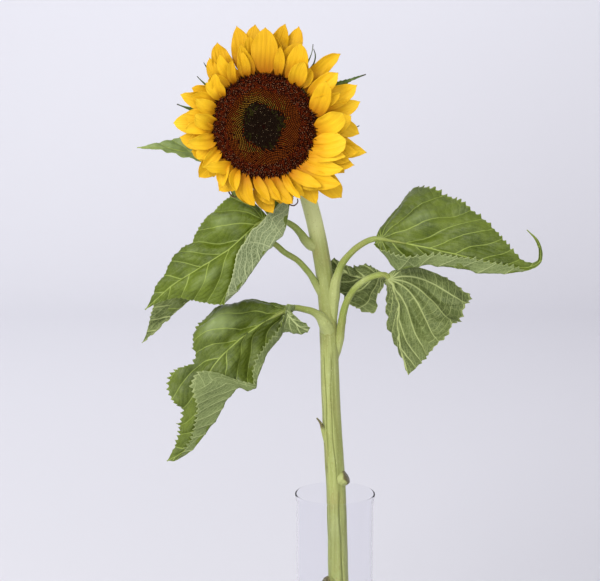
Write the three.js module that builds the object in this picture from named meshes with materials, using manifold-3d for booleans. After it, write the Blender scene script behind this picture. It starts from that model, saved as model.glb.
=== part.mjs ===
// A cut sunflower standing in a plain glass cylinder vase. Millimetres, +Z up.
// The origin is the centre of the vase's flat underside. The flower faces -Y.
import * as THREE from 'three';
import { mergeVertices } from 'three/addons/utils/BufferGeometryUtils.js';
import Module from 'manifold-3d';

const wasm = await Module();
wasm.setup();

// ---- Driving dimensions ----

const GAP = 0.3; // running gap between neighbouring solids

// The vase flares over its top few millimetres to the radius of its lip. The rounding is
// of its foot, inside and out, and the bevel is of its lip.
const VASE = { height: 200, radius: 28.8, lip: 30, wall: 2, floor: 9, rounding: 1.6, flare: 7, bevel: 0.6 };
const VASE_SIDES = 36;

const STEM_SIDES = 12;
const STEM = { foot: 8.2, rim: 7.5, middle: 6.8, neck: 8.4 }; // radii
const NECK_STARTS = 0.835; // share of the stem's length below the bend into the head
const STEM_STEPS = 22;
const NECK_STEPS = 9;

const PETIOLE_SIDES = 8;
const PETIOLE_STEPS = 10;

const LEAF_THICKNESS = 0.9;
const LEAF_GRID = [12, 6]; // cells along the leaf and across it
const FOLDED_GRID = [8, 4];
const PETAL_THICKNESS = 0.8;
const PETAL_GRID = [6, 2];
const BRACT_THICKNESS = 1;
const BRACT_GRID = [5, 2];

// The head's own frame: +Z out of its face, +Y up. These lengths are along that +Z.
const HEAD = { x: -51, y: -12, z: 475.2, turnLeft: 6, noddingDown: 4.5 };
const DISC = { radius: 37.4, edge: 8, shoulder: 11.2, brow: 13.9, dome: 14.5, dip: 13 };
const RECEPTACLE = { radius: 41, rim: 3, belly: 6.1, waist: 9.9, neck: 8.4, depth: 17 };
const HEAD_SIDES = 28;
const PETAL_ROOT = 37.9; // radius where every ray petal starts

// The stem's centre line, from the cut end on the vase's floor up behind the flower,
// where its neck hooks forward into the back of the head.
const STEM_LINE = [
  [4.5, -12, 2], [2.8, 8, 132], [1.2, 18.6, 196], [-2.3, 26.5, 255], [-4.2, 31.5, 307],
  [-6, 33.5, 345], [-12, 35, 385], [-20, 36, 418], [-27, 36, 438], [-35, 33, 456],
  [-42, 25, 470], [-47, 14, 475.7], [-49.5, 1.5, 476.4],
];

// Each leaf stalk: centre line from inside the stem to the leaf's base, and its two radii.
const PETIOLES = {
  upper_left: {
    line: [[-9, 35, 373], [-17.2, 33, 382], [-26, 31, 391.5], [-34, 28, 398.5], [-41, 23, 401.5],
      [-46.5, 15.5, 403.8], [-49.2, 8.6, 405.3]],
    radii: [2.9, 2],
  },
  middle_left: {
    line: [[-5, 34, 338], [-12.6, 31, 346.5], [-19.6, 26, 367], [-34, 18, 379], [-46.6, 16.7, 386.4]],
    radii: [3, 2.1],
  },
  lower_left: {
    line: [[-4, 31, 314], [-9, 27, 326.5], [-15, 23, 332.5], [-22, 20, 336], [-30, 17.5, 338]],
    radii: [3.4, 2.5],
  },
  upper_right: {
    line: [[-3, 33, 338], [2.6, 30.5, 352], [4.6, 28, 368], [12.6, 24, 380], [20, 21, 386.5],
      [30.6, 17.1, 390]],
    radii: [4, 2.4],
  },
  lower_right: {
    line: [[0, 30, 290], [3.4, 29, 302], [5.6, 27.5, 323], [11.6, 24, 346.5], [23.3, 20, 360.5],
      [37.3, 16.5, 362.7]],
    radii: [2.7, 2.2],
  },
  behind_head: {
    line: [[-26, 36, 436], [-36, 41, 444], [-58, 38, 454], [-81.1, 34, 457.3]],
    radii: [2.4, 1.8],
  },
};

// Each leaf: rib is the centre line from base to tip; face is where the upper side looks.
// left and right are the half widths, seen from above with the tip ahead, evenly spaced
// from base to tip. Each wing leaves the rib at an angle, also listed from base to tip,
// and bends on by its curl over its whole width. lobes are how far the base reaches back.
const LEAVES = {
  upper_left: {
    rib: [[-49.5, 8, 405.5], [-71.4, -3, 392.1], [-101, -11, 371.8], [-118.6, -10, 360], [-140, -3, 339.6]],
    face: [-0.15, -0.9, 0.4],
    left: [12, 19, 22, 25, 28, 31, 27, 16, 8, 3, 0], right: [8, 33, 27, 18, 8, 0],
    wings: { left: [0, 2, 2, 0], right: [20, 15, 5] },
    curls: { left: 0, right: -10 }, lobes: { left: 6, right: 12 },
  },
  middle_left: {
    rib: [[-47, 17, 386.7], [-71, 20, 372.1], [-96.5, 19, 353.4], [-118.7, 14, 335.3], [-144, 10, 312.5]],
    face: [-0.1, 0.98, 0.05],
    left: [4, 22, 27, 23, 16, 0], right: [3, 12, 12, 5, 4, 0],
    wings: { left: [0, 0], right: [30, 20] },
    curls: { left: 0, right: 10 }, lobes: { left: 6, right: 0 },
  },
  lower_left: {
    rib: [[-31.6, 17, 338.3], [-58, 3, 325], [-80, -8, 311], [-97, -12, 295], [-110, -9, 270],
      [-117, -5, 246], [-125.5, -2, 224]],
    face: [-0.1, -0.9, 0.42],
    left: [6, 25, 26, 32, 31, 25, 22, 20, 13, 2], right: [6, 18, 28, 32, 24, 24, 14, 3, 1, 0],
    wings: { left: [30, 25, 15, 10], right: [15, 10, 10] },
    curls: { left: -15, right: -15 }, lobes: { left: 6, right: 4 },
  },
  upper_right: {
    rib: [[31, 17, 390], [60, 4, 387], [90, -6, 381], [119, -8, 374], [140, -5, 372], [148, -5, 375.5],
      [148.5, -6, 384.5], [145, -7, 392.5], [138, -9, 399.5]],
    face: [0.05, -0.9, 0.4],
    left: [20, 44, 47, 45, 40, 34, 26, 13, 3, 2, 0], right: [6, 20, 24, 25, 25, 23, 17, 9, 3, 2, 0],
    wings: { left: [8, 12], right: [-15, -5, 5] },
    curls: { left: -15, right: 150 }, lobes: { left: 4, right: 6 },
  },
  lower_right: {
    rib: [[37.8, 16.5, 362.6], [43, 12, 351], [46, 7, 336], [45, 3, 318], [48, 0, 302], [56, -1, 286.5]],
    face: [0.1, 0.95, 0.25],
    left: [8, 30, 34, 26, 14, 0], right: [14, 46, 44, 34, 24, 0],
    wings: { left: [75, 72, 76], right: [-6, -16] },
    curls: { left: 10, right: -15 }, lobes: { left: 0, right: 0 },
  },
  behind_head: {
    rib: [[-81.5, 34, 457.4], [-100, 32, 458.3], [-125, 29, 457.8], [-147.5, 30, 457]],
    face: [-0.1, -0.5, 0.86],
    left: [5, 9, 9, 6, 3, 0], right: [7, 13, 13, 9, 4, 0],
    wings: { left: [10, 10], right: [20, 10] },
    curls: { left: 0, right: 0 }, lobes: { left: 0, right: 0 },
  },
};

// Parts of the leaves that are folded away from the rest of the blade.
const FOLDED_PARTS = {
  leaf_upper_left_folded_edge: {
    leaf: 'upper_left',
    rib: [[-36.5, 1, 417.3], [-37.9, 0, 405.1], [-43, -4.5, 393.1], [-53.8, -13, 380.7],
      [-67.4, -21.8, 365.5], [-78.2, -25.5, 351.2], [-81.9, -26, 345.9]],
    face: [0.1, 0.9, 0.1],
    left: [2, 12, 13, 14, 15, 12, 0], right: [0, 0],
    wings: { left: [-6, -6], right: [0, 0] },
    curls: { left: 0, right: 0 }, lobes: { left: 0, right: 0 },
  },
  leaf_lower_left_folded_edge: {
    leaf: 'lower_left',
    rib: [[-71, -29, 290], [-80, -27.8, 277.5], [-90, -21.5, 263.5], [-99.5, -14, 248], [-107, -9, 235]],
    face: [0.1, 0.9, 0.1],
    left: [3, 32, 27, 14, 7, 0], right: [0, 0],
    wings: { left: [-10, -5], right: [0, 0] },
    curls: { left: 0, right: 0 }, lobes: { left: 0, right: 0 },
  },
  leaf_lower_right_back_lobe: {
    leaf: 'lower_right',
    rib: [[37, 21, 362], [25, 29, 359.5], [13.5, 36, 356.5], [4, 44, 364]],
    face: [0, 0.9, 0.4],
    left: [2, 5, 9, 6, 2], right: [3, 14, 20, 9, 2],
    wings: { left: [0, 0], right: [0, 0] },
    curls: { left: 0, right: 0 }, lobes: { left: 0, right: 0 },
  },
};

// ---- Shared helpers ----

const radians = THREE.MathUtils.degToRad;
const vector = ([x, y, z]) => new THREE.Vector3(x, y, z);

/** A smooth curve through points given in millimetres. */
function curveThrough(points) {
  return new THREE.CatmullRomCurve3(points.map(vector), false, 'centripetal');
}

/** Keeps only shared positions, so that neighbouring faces use the same corners. */
function weld(geometry) {
  geometry.deleteAttribute('normal');
  geometry.deleteAttribute('uv');
  return mergeVertices(geometry, 1e-4);
}

function toManifold(geometry) {
  const vertProperties = new Float32Array(geometry.attributes.position.array);
  const triVerts = new Uint32Array(geometry.index.array);
  return new wasm.Manifold(new wasm.Mesh({ numProp: 3, vertProperties, triVerts }));
}

function fromManifold(solid) {
  const { vertProperties, triVerts } = solid.getMesh();
  const geometry = new THREE.BufferGeometry();
  geometry.setAttribute('position', new THREE.BufferAttribute(vertProperties, 3));
  geometry.setIndex(new THREE.BufferAttribute(triVerts, 1));
  return geometry;
}

/** The first solid with the others cut out of it. */
function cutAway(geometry, ...tools) {
  return fromManifold(tools.reduce((solid, tool) => solid.subtract(toManifold(tool)), toManifold(geometry)));
}

/** A tapering limb: a capped cylinder whose rings are moved onto part of a curve. */
function limb(points, radiusAt, steps, sides, [from, to] = [0, 1]) {
  const curve = curveThrough(points);
  const geometry = new THREE.CylinderGeometry(1, 1, 1, sides, steps);
  const position = geometry.attributes.position;
  const forward = new THREE.Vector3(0, -1, 0);
  const local = new THREE.Vector3();
  for (let i = 0; i < position.count; i++) {
    local.fromBufferAttribute(position, i);
    const along = THREE.MathUtils.clamp(THREE.MathUtils.lerp(from, to, local.y + 0.5), 0, 1);
    const centre = curve.getPointAt(along);
    const tangent = curve.getTangentAt(along);
    const across = forward.clone().cross(tangent).normalize();
    const outward = across.clone().cross(tangent).normalize();
    const radius = radiusAt(along);
    centre.addScaledVector(across, local.x * radius).addScaledVector(outward, local.z * radius);
    position.setXYZ(i, centre.x, centre.y, centre.z);
  }
  return weld(geometry);
}

/** Radii joined smoothly, each one at its share of the way along. */
function taper(...stations) {
  return (along) => {
    const next = stations.findIndex(([share]) => share >= along);
    if (next <= 0) return stations[Math.max(next, 0)][1];
    const [fromShare, fromRadius] = stations[next - 1];
    const [toShare, toRadius] = stations[next];
    return THREE.MathUtils.mapLinear(along, fromShare, toShare, fromRadius, toRadius);
  };
}

// ---- Thin blades: leaves, petals and bracts ----

/** A value that runs smoothly through a list, whose entries are spaced evenly from 0 to 1. */
function through(list, share) {
  const place = THREE.MathUtils.clamp(share, 0, 1) * (list.length - 1);
  const start = Math.min(Math.floor(place), list.length - 2);
  const entry = (k) => list[THREE.MathUtils.clamp(start + k, 0, list.length - 1)];
  const t = place - start;
  const slopeIn = (entry(1) - entry(-1)) / 2;
  const slopeOut = (entry(2) - entry(0)) / 2;
  const rise = entry(1) - entry(0);
  const bend = 3 * rise - 2 * slopeIn - slopeOut;
  const twist = slopeIn + slopeOut - 2 * rise;
  return entry(0) + t * (slopeIn + t * (bend + t * twist));
}

const PETAL_PROFILE = [0.5, 0.8, 0.97, 1, 0.87, 0.57, 0];
const BRACT_PROFILE = [1, 0.9, 0.72, 0.48, 0.25, 0];

const LOBE_REACH = 0.34; // share of a leaf's length that its swept-back lobes take
const NARROWEST = 0.4; // half width that is left at both ends of a blade

/** How far the base of a leaf sweeps back at each side of its stalk, from 0 to 1. */
function lobeShare(along) {
  return along < LOBE_REACH ? Math.sin(Math.PI * along / LOBE_REACH) ** 2 : 0;
}

/**
 * A thin closed blade along a rib. A box of grid cells is bent: x runs along the rib,
 * y across it and z through the thickness.
 */
function blade(spec, [cellsAlong, cellsAcross], thickness) {
  const rib = curveThrough(spec.rib);
  const length = rib.getLength();
  const face = vector(spec.face);
  const geometry = new THREE.BoxGeometry(1, 2, thickness, cellsAlong, cellsAcross, 1);
  const position = geometry.attributes.position;
  for (let i = 0; i < position.count; i++) {
    const share = THREE.MathUtils.clamp(position.getX(i) + 0.5, 0, 1);
    const hand = position.getY(i) >= 0 ? 'left' : 'right';
    const outward = Math.abs(position.getY(i));
    const depth = position.getZ(i);

    const station = share - outward * lobeShare(share) * spec.lobes[hand] / length;
    const onRib = THREE.MathUtils.clamp(station, 0, 1);
    const point = rib.getPointAt(onRib);
    const tangent = rib.getTangentAt(onRib);
    point.addScaledVector(tangent, (station - onRib) * length);

    const up = face.clone().addScaledVector(tangent, -face.dot(tangent)).normalize();
    const side = up.clone().cross(tangent).multiplyScalar(hand === 'left' ? 1 : -1);
    const reach = outward * Math.max(through(spec[hand], share), NARROWEST);
    const start = radians(through(spec.wings[hand], share));
    const bend = radians(spec.curls[hand]) * outward;
    const chord = reach * (Math.abs(bend) > 1e-3 ? Math.sin(bend / 2) / (bend / 2) : 1);
    const lean = outward > 0 ? start + bend : 0;
    point.addScaledVector(side, chord * Math.cos(start + bend / 2) - depth * Math.sin(lean));
    point.addScaledVector(up, chord * Math.sin(start + bend / 2) + depth * Math.cos(lean));
    position.setXYZ(i, point.x, point.y, point.z);
  }
  return weld(geometry);
}

// ---- Materials ----

function plain(color, roughness, extra = {}) {
  return new THREE.MeshStandardMaterial({ color, roughness, metalness: 0, ...extra });
}

const glassFinish = plain('#e4e4ee', 0.05, { transparent: true, opacity: 0.35 });
const stemFinish = plain('#a9b467', 0.6);
const leafFinish = plain('#6f8f36', 0.6);
const undersideFinish = plain('#83936a', 0.75);
const petalFinish = plain('#f6bd25', 0.55);
const discFinish = plain('#4a2517', 0.9);
const bractFinish = plain('#5d7a2e', 0.65);

// ---- Vase ----

function vaseGeometry() {
  const { height, radius, lip, wall, floor, rounding, flare, bevel } = VASE;
  const inner = radius - wall;
  const profile = [
    [0, 0], [radius - rounding, 0], [radius, rounding], [radius, height - flare],
    [lip, height - bevel], [lip - bevel, height], [lip - wall + bevel, height],
    [lip - wall, height - bevel], [inner, height - flare],
    [inner, floor + rounding], [inner - rounding, floor], [0, floor],
  ];
  const points = profile.map(([x, y]) => new THREE.Vector2(x, y));
  return weld(new THREE.LatheGeometry(points, VASE_SIDES).rotateX(Math.PI / 2));
}

// ---- Stem, neck and the stubs of leaves that were cut off ----

const stemRadius = taper(
  [0, STEM.foot], [0.4, STEM.rim], [0.6, STEM.middle], [0.94, STEM.middle], [1, STEM.neck],
);

function stemGeometry(extra = 0) {
  const radiusAt = (along) => stemRadius(along) + extra;
  return limb(STEM_LINE, radiusAt, STEM_STEPS, STEM_SIDES, [0, NECK_STARTS]);
}

function neckGeometry(extra = 0) {
  const radiusAt = (along) => stemRadius(along) + extra;
  const start = NECK_STARTS + GAP / curveThrough(STEM_LINE).getLength();
  return limb(STEM_LINE, radiusAt, NECK_STEPS, STEM_SIDES, [start, 1]);
}

/** The vase's floor and everything below it, where the stem is cut flat. */
function belowTheFloor() {
  const wide = 4 * VASE.radius;
  const top = VASE.floor + GAP;
  return weld(new THREE.BoxGeometry(wide, wide, wide).translate(0, 0, top - wide / 2));
}

const STUBS = {
  stub_at_vase_rim: { line: [[0, 20, 205], [5.5, 14, 208.5], [9, 11, 210.5]], radii: [5.5, 4.6] },
  stub_below_rim: { line: [[1.5, 8, 124], [-3, 2, 129], [-5.5, -1, 131.5]], radii: [5.2, 4.2] },
  side_bud: { line: [[-1, 25, 234], [-7.6, 23, 243], [-10.6, 21.6, 253]], radii: [3, 1] },
};

// ---- Flower head ----

function discGeometry() {
  const { radius, edge, shoulder, brow, dome, dip } = DISC;
  const bevel = 1.5;
  const profile = [
    [0, GAP], [radius - bevel, GAP], [radius, bevel], [radius, edge], [radius * 0.94, shoulder],
    [radius * 0.8, brow], [radius * 0.55, dome], [radius * 0.25, (dome + 3 * dip) / 4], [0, dip],
  ];
  const points = profile.map(([x, y]) => new THREE.Vector2(x, y));
  return weld(new THREE.LatheGeometry(points, HEAD_SIDES).rotateX(Math.PI / 2));
}

function receptacleGeometry(extra = 0) {
  const { radius, rim, belly, waist, neck } = RECEPTACLE;
  const depth = RECEPTACLE.depth + extra;
  const fillet = 3;
  const profile = [
    [0, -depth], [neck, -depth], [neck + fillet, fillet - depth], [radius * 0.6, -waist - extra],
    [radius * 0.88, -belly - extra], [radius, -rim], [radius, 0], [0, 0],
  ];
  const points = profile.map(([x, y]) => new THREE.Vector2(x, y));
  return weld(new THREE.LatheGeometry(points, HEAD_SIDES).rotateX(Math.PI / 2));
}

// Ray petals: [angle anticlockwise from the head's right, tip radius, half width].
const OUTER_PETALS = [
  [24, 72, 7.5], [43, 74, 8], [64, 71, 8], [85, 71, 8], [106, 72, 8], [127, 64, 8],
  [149, 59, 8], [171, 66, 8], [193, 58, 8], [214, 60, 8], [235, 58, 8], [255, 56, 8],
  [276, 64, 8], [297, 61, 8], [318, 75, 8], [340, 73, 8], [2, 68, 8],
];
const INNER_PETALS = [
  [13, 70, 7.5], [35, 66, 7.5], [56, 62, 7.5], [77, 71, 7.5], [97, 68, 7.5], [119, 65, 7.5],
  [142, 54, 7], [164, 62, 7.5], [188, 61, 7.5], [212, 54, 7], [240, 53, 7.5], [266, 57, 7.5],
  [304, 66, 7.5], [328, 68, 7.5], [351, 64, 7.5],
];
const OUTER_RING = { base: 1.3, lift: -2.2, arch: 1.2 };
const INNER_RING = { base: 3.6, lift: 4.2, arch: 1.6 };

function petalGeometry([angle, tipRadius, half], { base, lift, arch }) {
  const middle = (PETAL_ROOT + tipRadius) / 2;
  const widths = PETAL_PROFILE.map((share) => share * half);
  const spec = {
    rib: [[PETAL_ROOT, 0, base], [middle, 0, base + lift / 2 + arch], [tipRadius, 0, base + lift]],
    face: [0, 0, 1], left: widths, right: widths, wings: { left: [8, 4], right: [8, 4] },
    curls: { left: -12, right: -12 }, lobes: { left: 0, right: 0 },
  };
  return blade(spec, PETAL_GRID, PETAL_THICKNESS).rotateZ(radians(angle));
}

// Green bracts behind the petals: [angle, tip radius, half width].
const BRACTS = [[28, 80, 6], [57, 68, 5], [166, 67, 5], [241, 60, 5], [289, 64, 5]];
const BRACT_RING = { root: 41.5, base: -2, fall: -4.5 };

function bractGeometry([angle, tipRadius, half]) {
  const { root, base, fall } = BRACT_RING;
  const widths = BRACT_PROFILE.map((share) => share * half);
  const spec = {
    rib: [[root, 0, base], [(root + tipRadius) / 2, 0, base + fall * 0.7], [tipRadius, 0, base + fall]],
    face: [0, 0, 1], left: widths, right: widths, wings: { left: [0, 0], right: [0, 0] },
    curls: { left: 0, right: 0 }, lobes: { left: 0, right: 0 },
  };
  return blade(spec, BRACT_GRID, BRACT_THICKNESS).rotateZ(radians(angle));
}

// ---- Assembly ----

const sunflower = new THREE.Group();
const head = new THREE.Group();
head.position.set(HEAD.x, HEAD.y, HEAD.z);
head.rotation.set(radians(90 + HEAD.noddingDown), 0, radians(-HEAD.turnLeft), 'ZXY');
sunflower.add(head);

function add(parent, name, geometry, material) {
  const mesh = new THREE.Mesh(geometry, material);
  mesh.name = name;
  parent.add(mesh);
  return mesh;
}

add(sunflower, 'vase', vaseGeometry(), glassFinish);
add(sunflower, 'stem', cutAway(stemGeometry(), belowTheFloor()), stemFinish);
head.updateMatrix();
const headClearance = receptacleGeometry(GAP).applyMatrix4(head.matrix);
add(sunflower, 'neck', cutAway(neckGeometry(), headClearance), stemFinish);

const fatStem = stemGeometry(GAP);
const fatNeck = neckGeometry(GAP);

function stalk({ line, radii: [atStem, atTip] }, extra = 0) {
  return limb(line, taper([0, atStem + extra], [1, atTip + extra]), PETIOLE_STEPS, PETIOLE_SIDES);
}

for (const [name, spec] of Object.entries(STUBS)) {
  add(sunflower, name, cutAway(stalk(spec), fatStem), stemFinish);
}
for (const [place, spec] of Object.entries(PETIOLES)) {
  add(sunflower, `petiole_${place}`, cutAway(stalk(spec), fatStem, fatNeck), stemFinish);
}
for (const [place, spec] of Object.entries(LEAVES)) {
  const leaf = blade(spec, LEAF_GRID, LEAF_THICKNESS);
  add(sunflower, `leaf_${place}`, cutAway(leaf, stalk(PETIOLES[place], GAP)), leafFinish);
}
for (const [name, spec] of Object.entries(FOLDED_PARTS)) {
  const part = blade(spec, FOLDED_GRID, LEAF_THICKNESS);
  const clearance = blade(LEAVES[spec.leaf], LEAF_GRID, LEAF_THICKNESS + 2 * GAP);
  add(sunflower, name, cutAway(part, clearance), undersideFinish);
}

add(head, 'receptacle', receptacleGeometry(), bractFinish);
add(head, 'seed_disc', discGeometry(), discFinish);
OUTER_PETALS.forEach((petal, i) => {
  add(head, `petal_outer_${i + 1}`, petalGeometry(petal, OUTER_RING), petalFinish);
});
INNER_PETALS.forEach((petal, i) => {
  add(head, `petal_inner_${i + 1}`, petalGeometry(petal, INNER_RING), petalFinish);
});
BRACTS.forEach((bract, i) => add(head, `bract_${i + 1}`, bractGeometry(bract), bractFinish));

export default sunflower;
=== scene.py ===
"""A cut sunflower standing in a plain glass cylinder vase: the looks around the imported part.

Lengths and places in the lists below are millimetres in the part's own frame, and MM turns
them into metres as each mesh is made. The flower faces -Y, and +Z is up.
"""
import math

import bpy
import numpy as np
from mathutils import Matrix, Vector


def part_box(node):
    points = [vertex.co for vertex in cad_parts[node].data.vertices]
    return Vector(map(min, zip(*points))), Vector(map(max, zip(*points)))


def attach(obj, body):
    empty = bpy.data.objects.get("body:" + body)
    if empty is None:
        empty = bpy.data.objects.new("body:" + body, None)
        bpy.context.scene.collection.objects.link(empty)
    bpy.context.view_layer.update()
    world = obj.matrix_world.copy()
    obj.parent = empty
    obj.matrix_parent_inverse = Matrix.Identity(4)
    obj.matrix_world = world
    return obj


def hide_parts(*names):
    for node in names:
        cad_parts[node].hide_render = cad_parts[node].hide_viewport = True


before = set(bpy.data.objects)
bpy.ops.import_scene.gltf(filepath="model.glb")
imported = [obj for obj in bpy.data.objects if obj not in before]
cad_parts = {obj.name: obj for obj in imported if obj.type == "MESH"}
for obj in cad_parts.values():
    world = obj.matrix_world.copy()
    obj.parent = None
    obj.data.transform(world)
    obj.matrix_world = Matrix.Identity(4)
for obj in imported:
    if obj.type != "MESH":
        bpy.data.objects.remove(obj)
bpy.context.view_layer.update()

MM = 0.001
TURN = 2 * math.pi

# ---- Camera, lights and backdrop ----

CAMERA = {"place": (-0.02625, -1.08908, 0.52030), "pitch_down": 8.7, "lens": 90, "sensor": 36}
# The sweep, and its shading: darker low down and to the right.
BACKDROP = {"half_width": 4.0, "front": -3.0, "bend": 2.0, "radius": 0.9, "top": 3.2,
            "dark_at": -0.1, "pale_at": 0.7, "left": -0.7, "right": 0.6, "left_share": 0.2,
            "pale": "#e6e6ed", "dark": "#d8d7de"}
# Lights: name, place, where it points, size, power and tint.
LIGHTS = [
    ("key", (-1.4, -1.7, 1.5), (-0.02, 0, 0.38), 1.5, 47, (1.0, 0.98, 0.95)),
    ("front", (0.5, -2.4, 0.7), (-0.02, 0, 0.35), 2.2, 22, (1.0, 1.0, 1.0)),
    ("backdrop_wash", (-0.55, 0.7, 2.2), (0.1, 2.9, 1.1), 1.2, 18, (1.0, 1.0, 1.0)),
]
WORLD = {"tint": "#f7f7fb", "strength": 0.6}

# ---- The plant's own measures ----

# The head's own frame: +Z out of its face, +Y up.
HEAD = {"place": (-51, -12, 475.2), "turn_left": 6, "nodding_down": 4.5}
DISC_RADIUS = 37.4
# Height of the disc's face above the head's plane, from the centre out to the radius.
DISC_HEIGHTS = [12.2, 12.7, 13.4, 13.9, 13.9, 13.6, 12.8, 11.2, 8.2]

STEM_LINE = [
    (4.5, -12, 2), (2.8, 8, 132), (1.2, 18.6, 196), (-2.3, 26.5, 255), (-4.2, 31.5, 307), (-6, 33.5, 345),
    (-12, 35, 385), (-20, 36, 418), (-27, 36, 438), (-35, 33, 456), (-42, 25, 470), (-47, 14, 475.7),
    (-49.5, 1.5, 476.4),
]
STEM_RADII = [8.2, 7.9, 7.7, 7.5, 7.3, 7.0, 6.7, 6.2, 6.3, 8.2]

# Each leaf stalk starts inside the stem, and leaves it with a swollen foot that keeps the
# stem's own colour over the given millimetres.
PETIOLES = {
    "upper_left": {
        "line": [(-8, 36.5, 378), (-13, 34.6, 381), (-18.3, 32.4, 383.6), (-22.2, 30.6, 387.2),
                 (-25.3, 29.5, 391.9), (-29, 28, 396.2), (-33.4, 27, 399.8), (-38, 24.5, 402),
                 (-43, 19, 403.4), (-49, 9, 406)],
        "radii": [3.6, 4.2, 3.8, 3.0, 2.5, 2.2, 2.1, 2.1, 2.0], "foot": 12,
    },
    "middle_left": {
        "line": [(-8, 35, 341), (-10.6, 33, 346.6), (-13, 31, 351.6), (-15.6, 29.2, 356.6),
                 (-18.6, 27.2, 361.6), (-22.7, 25, 367.2), (-28.7, 22.6, 373.4), (-37.4, 19.4, 379.2),
                 (-46.6, 16.7, 386.4)],
        "radii": [2.8, 3.0, 2.7, 2.4, 2.3, 2.2, 2.2, 2.2, 2.1], "foot": 8,
    },
    "lower_left": {
        "line": [(-4.4, 34, 311), (-5.4, 30.6, 319), (-8.4, 27, 326.3), (-13.2, 23.8, 331.8),
                 (-18.8, 21, 335.2), (-24.8, 19, 336.9), (-30.4, 17.4, 338)],
        "radii": [5.4, 6.0, 5.2, 3.6, 2.7, 2.4, 2.3], "foot": 22,
    },
    "upper_right": {
        "line": [(-1.6, 32.5, 318), (-1.2, 30, 332), (-0.6, 29, 345), (0.4, 28.2, 354.4), (2.4, 27.2, 362.2),
                 (5.4, 26, 370), (9.9, 24, 376.4), (17, 21.5, 383.4), (25, 19, 388.4), (30.6, 17.1, 390)],
        "radii": [2.8, 3.2, 3.8, 4.4, 3.9, 3.0, 2.6, 2.4, 2.3, 2.2], "foot": 38,
    },
    "lower_right": {
        "line": [(0.6, 33.4, 296), (2.4, 31.4, 304), (3.8, 29.8, 312), (4.9, 28.2, 322), (6.4, 26.5, 332.4),
                 (9.2, 24.4, 342), (13.6, 22.4, 349.9), (19.6, 20, 356.5), (27.6, 18.3, 361.2),
                 (37.3, 16.5, 362.7)],
        "radii": [2.6, 3.1, 3.3, 3.1, 2.8, 2.6, 2.5, 2.4, 2.3, 2.3], "foot": 12,
    },
    "behind_head": {
        "line": [(-24, 36, 425), (-29, 38.5, 435), (-38, 41, 442), (-58, 39, 448.5), (-79, 35, 448.5)],
        "radii": [4.4, 3.6, 2.4, 1.9, 1.7], "foot": 8,
    },
}

STALK_RUN_ON = (7, 15, 24)  # points along the leaf's rib, in mm, that the stalk goes on through
STALK_END_RADII = [1.7, 1.1, 0.3]
NEVER_CUT = 2  # a share past the end, for stalks that have no brown cut
# Stumps of cut leaf stalks and a small bud, all on the front of the stem. cut: the share of the
# length from which each one is brown.
STUBS = {
    "stub_at_vase_rim": {"line": [(0, 20, 203), (4.6, 17.6, 205.4), (9.2, 16.4, 207.8)],
                         "radii": [5.2, 5.6, 5.5, 5.4, 5.7, 5.5, 4.9], "cut": 0.86},
    "stub_below_rim": {"line": [(1.5, 8, 125), (-3, 4, 128), (-7, 2, 130)],
                       "radii": [5.0, 5.4, 5.3, 5.2, 5.5, 5.3, 4.7], "cut": 0.86},
    "side_bud": {"line": [(-3, 25, 228), (-6.6, 22, 236), (-8.8, 21, 243.5), (-10.6, 20.6, 248.8),
                          (-13.6, 20.4, 252.8)], "radii": [2.4, 2.4, 2.0, 1.6, 1.1, 0.5], "cut": 0.62},
}

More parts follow.
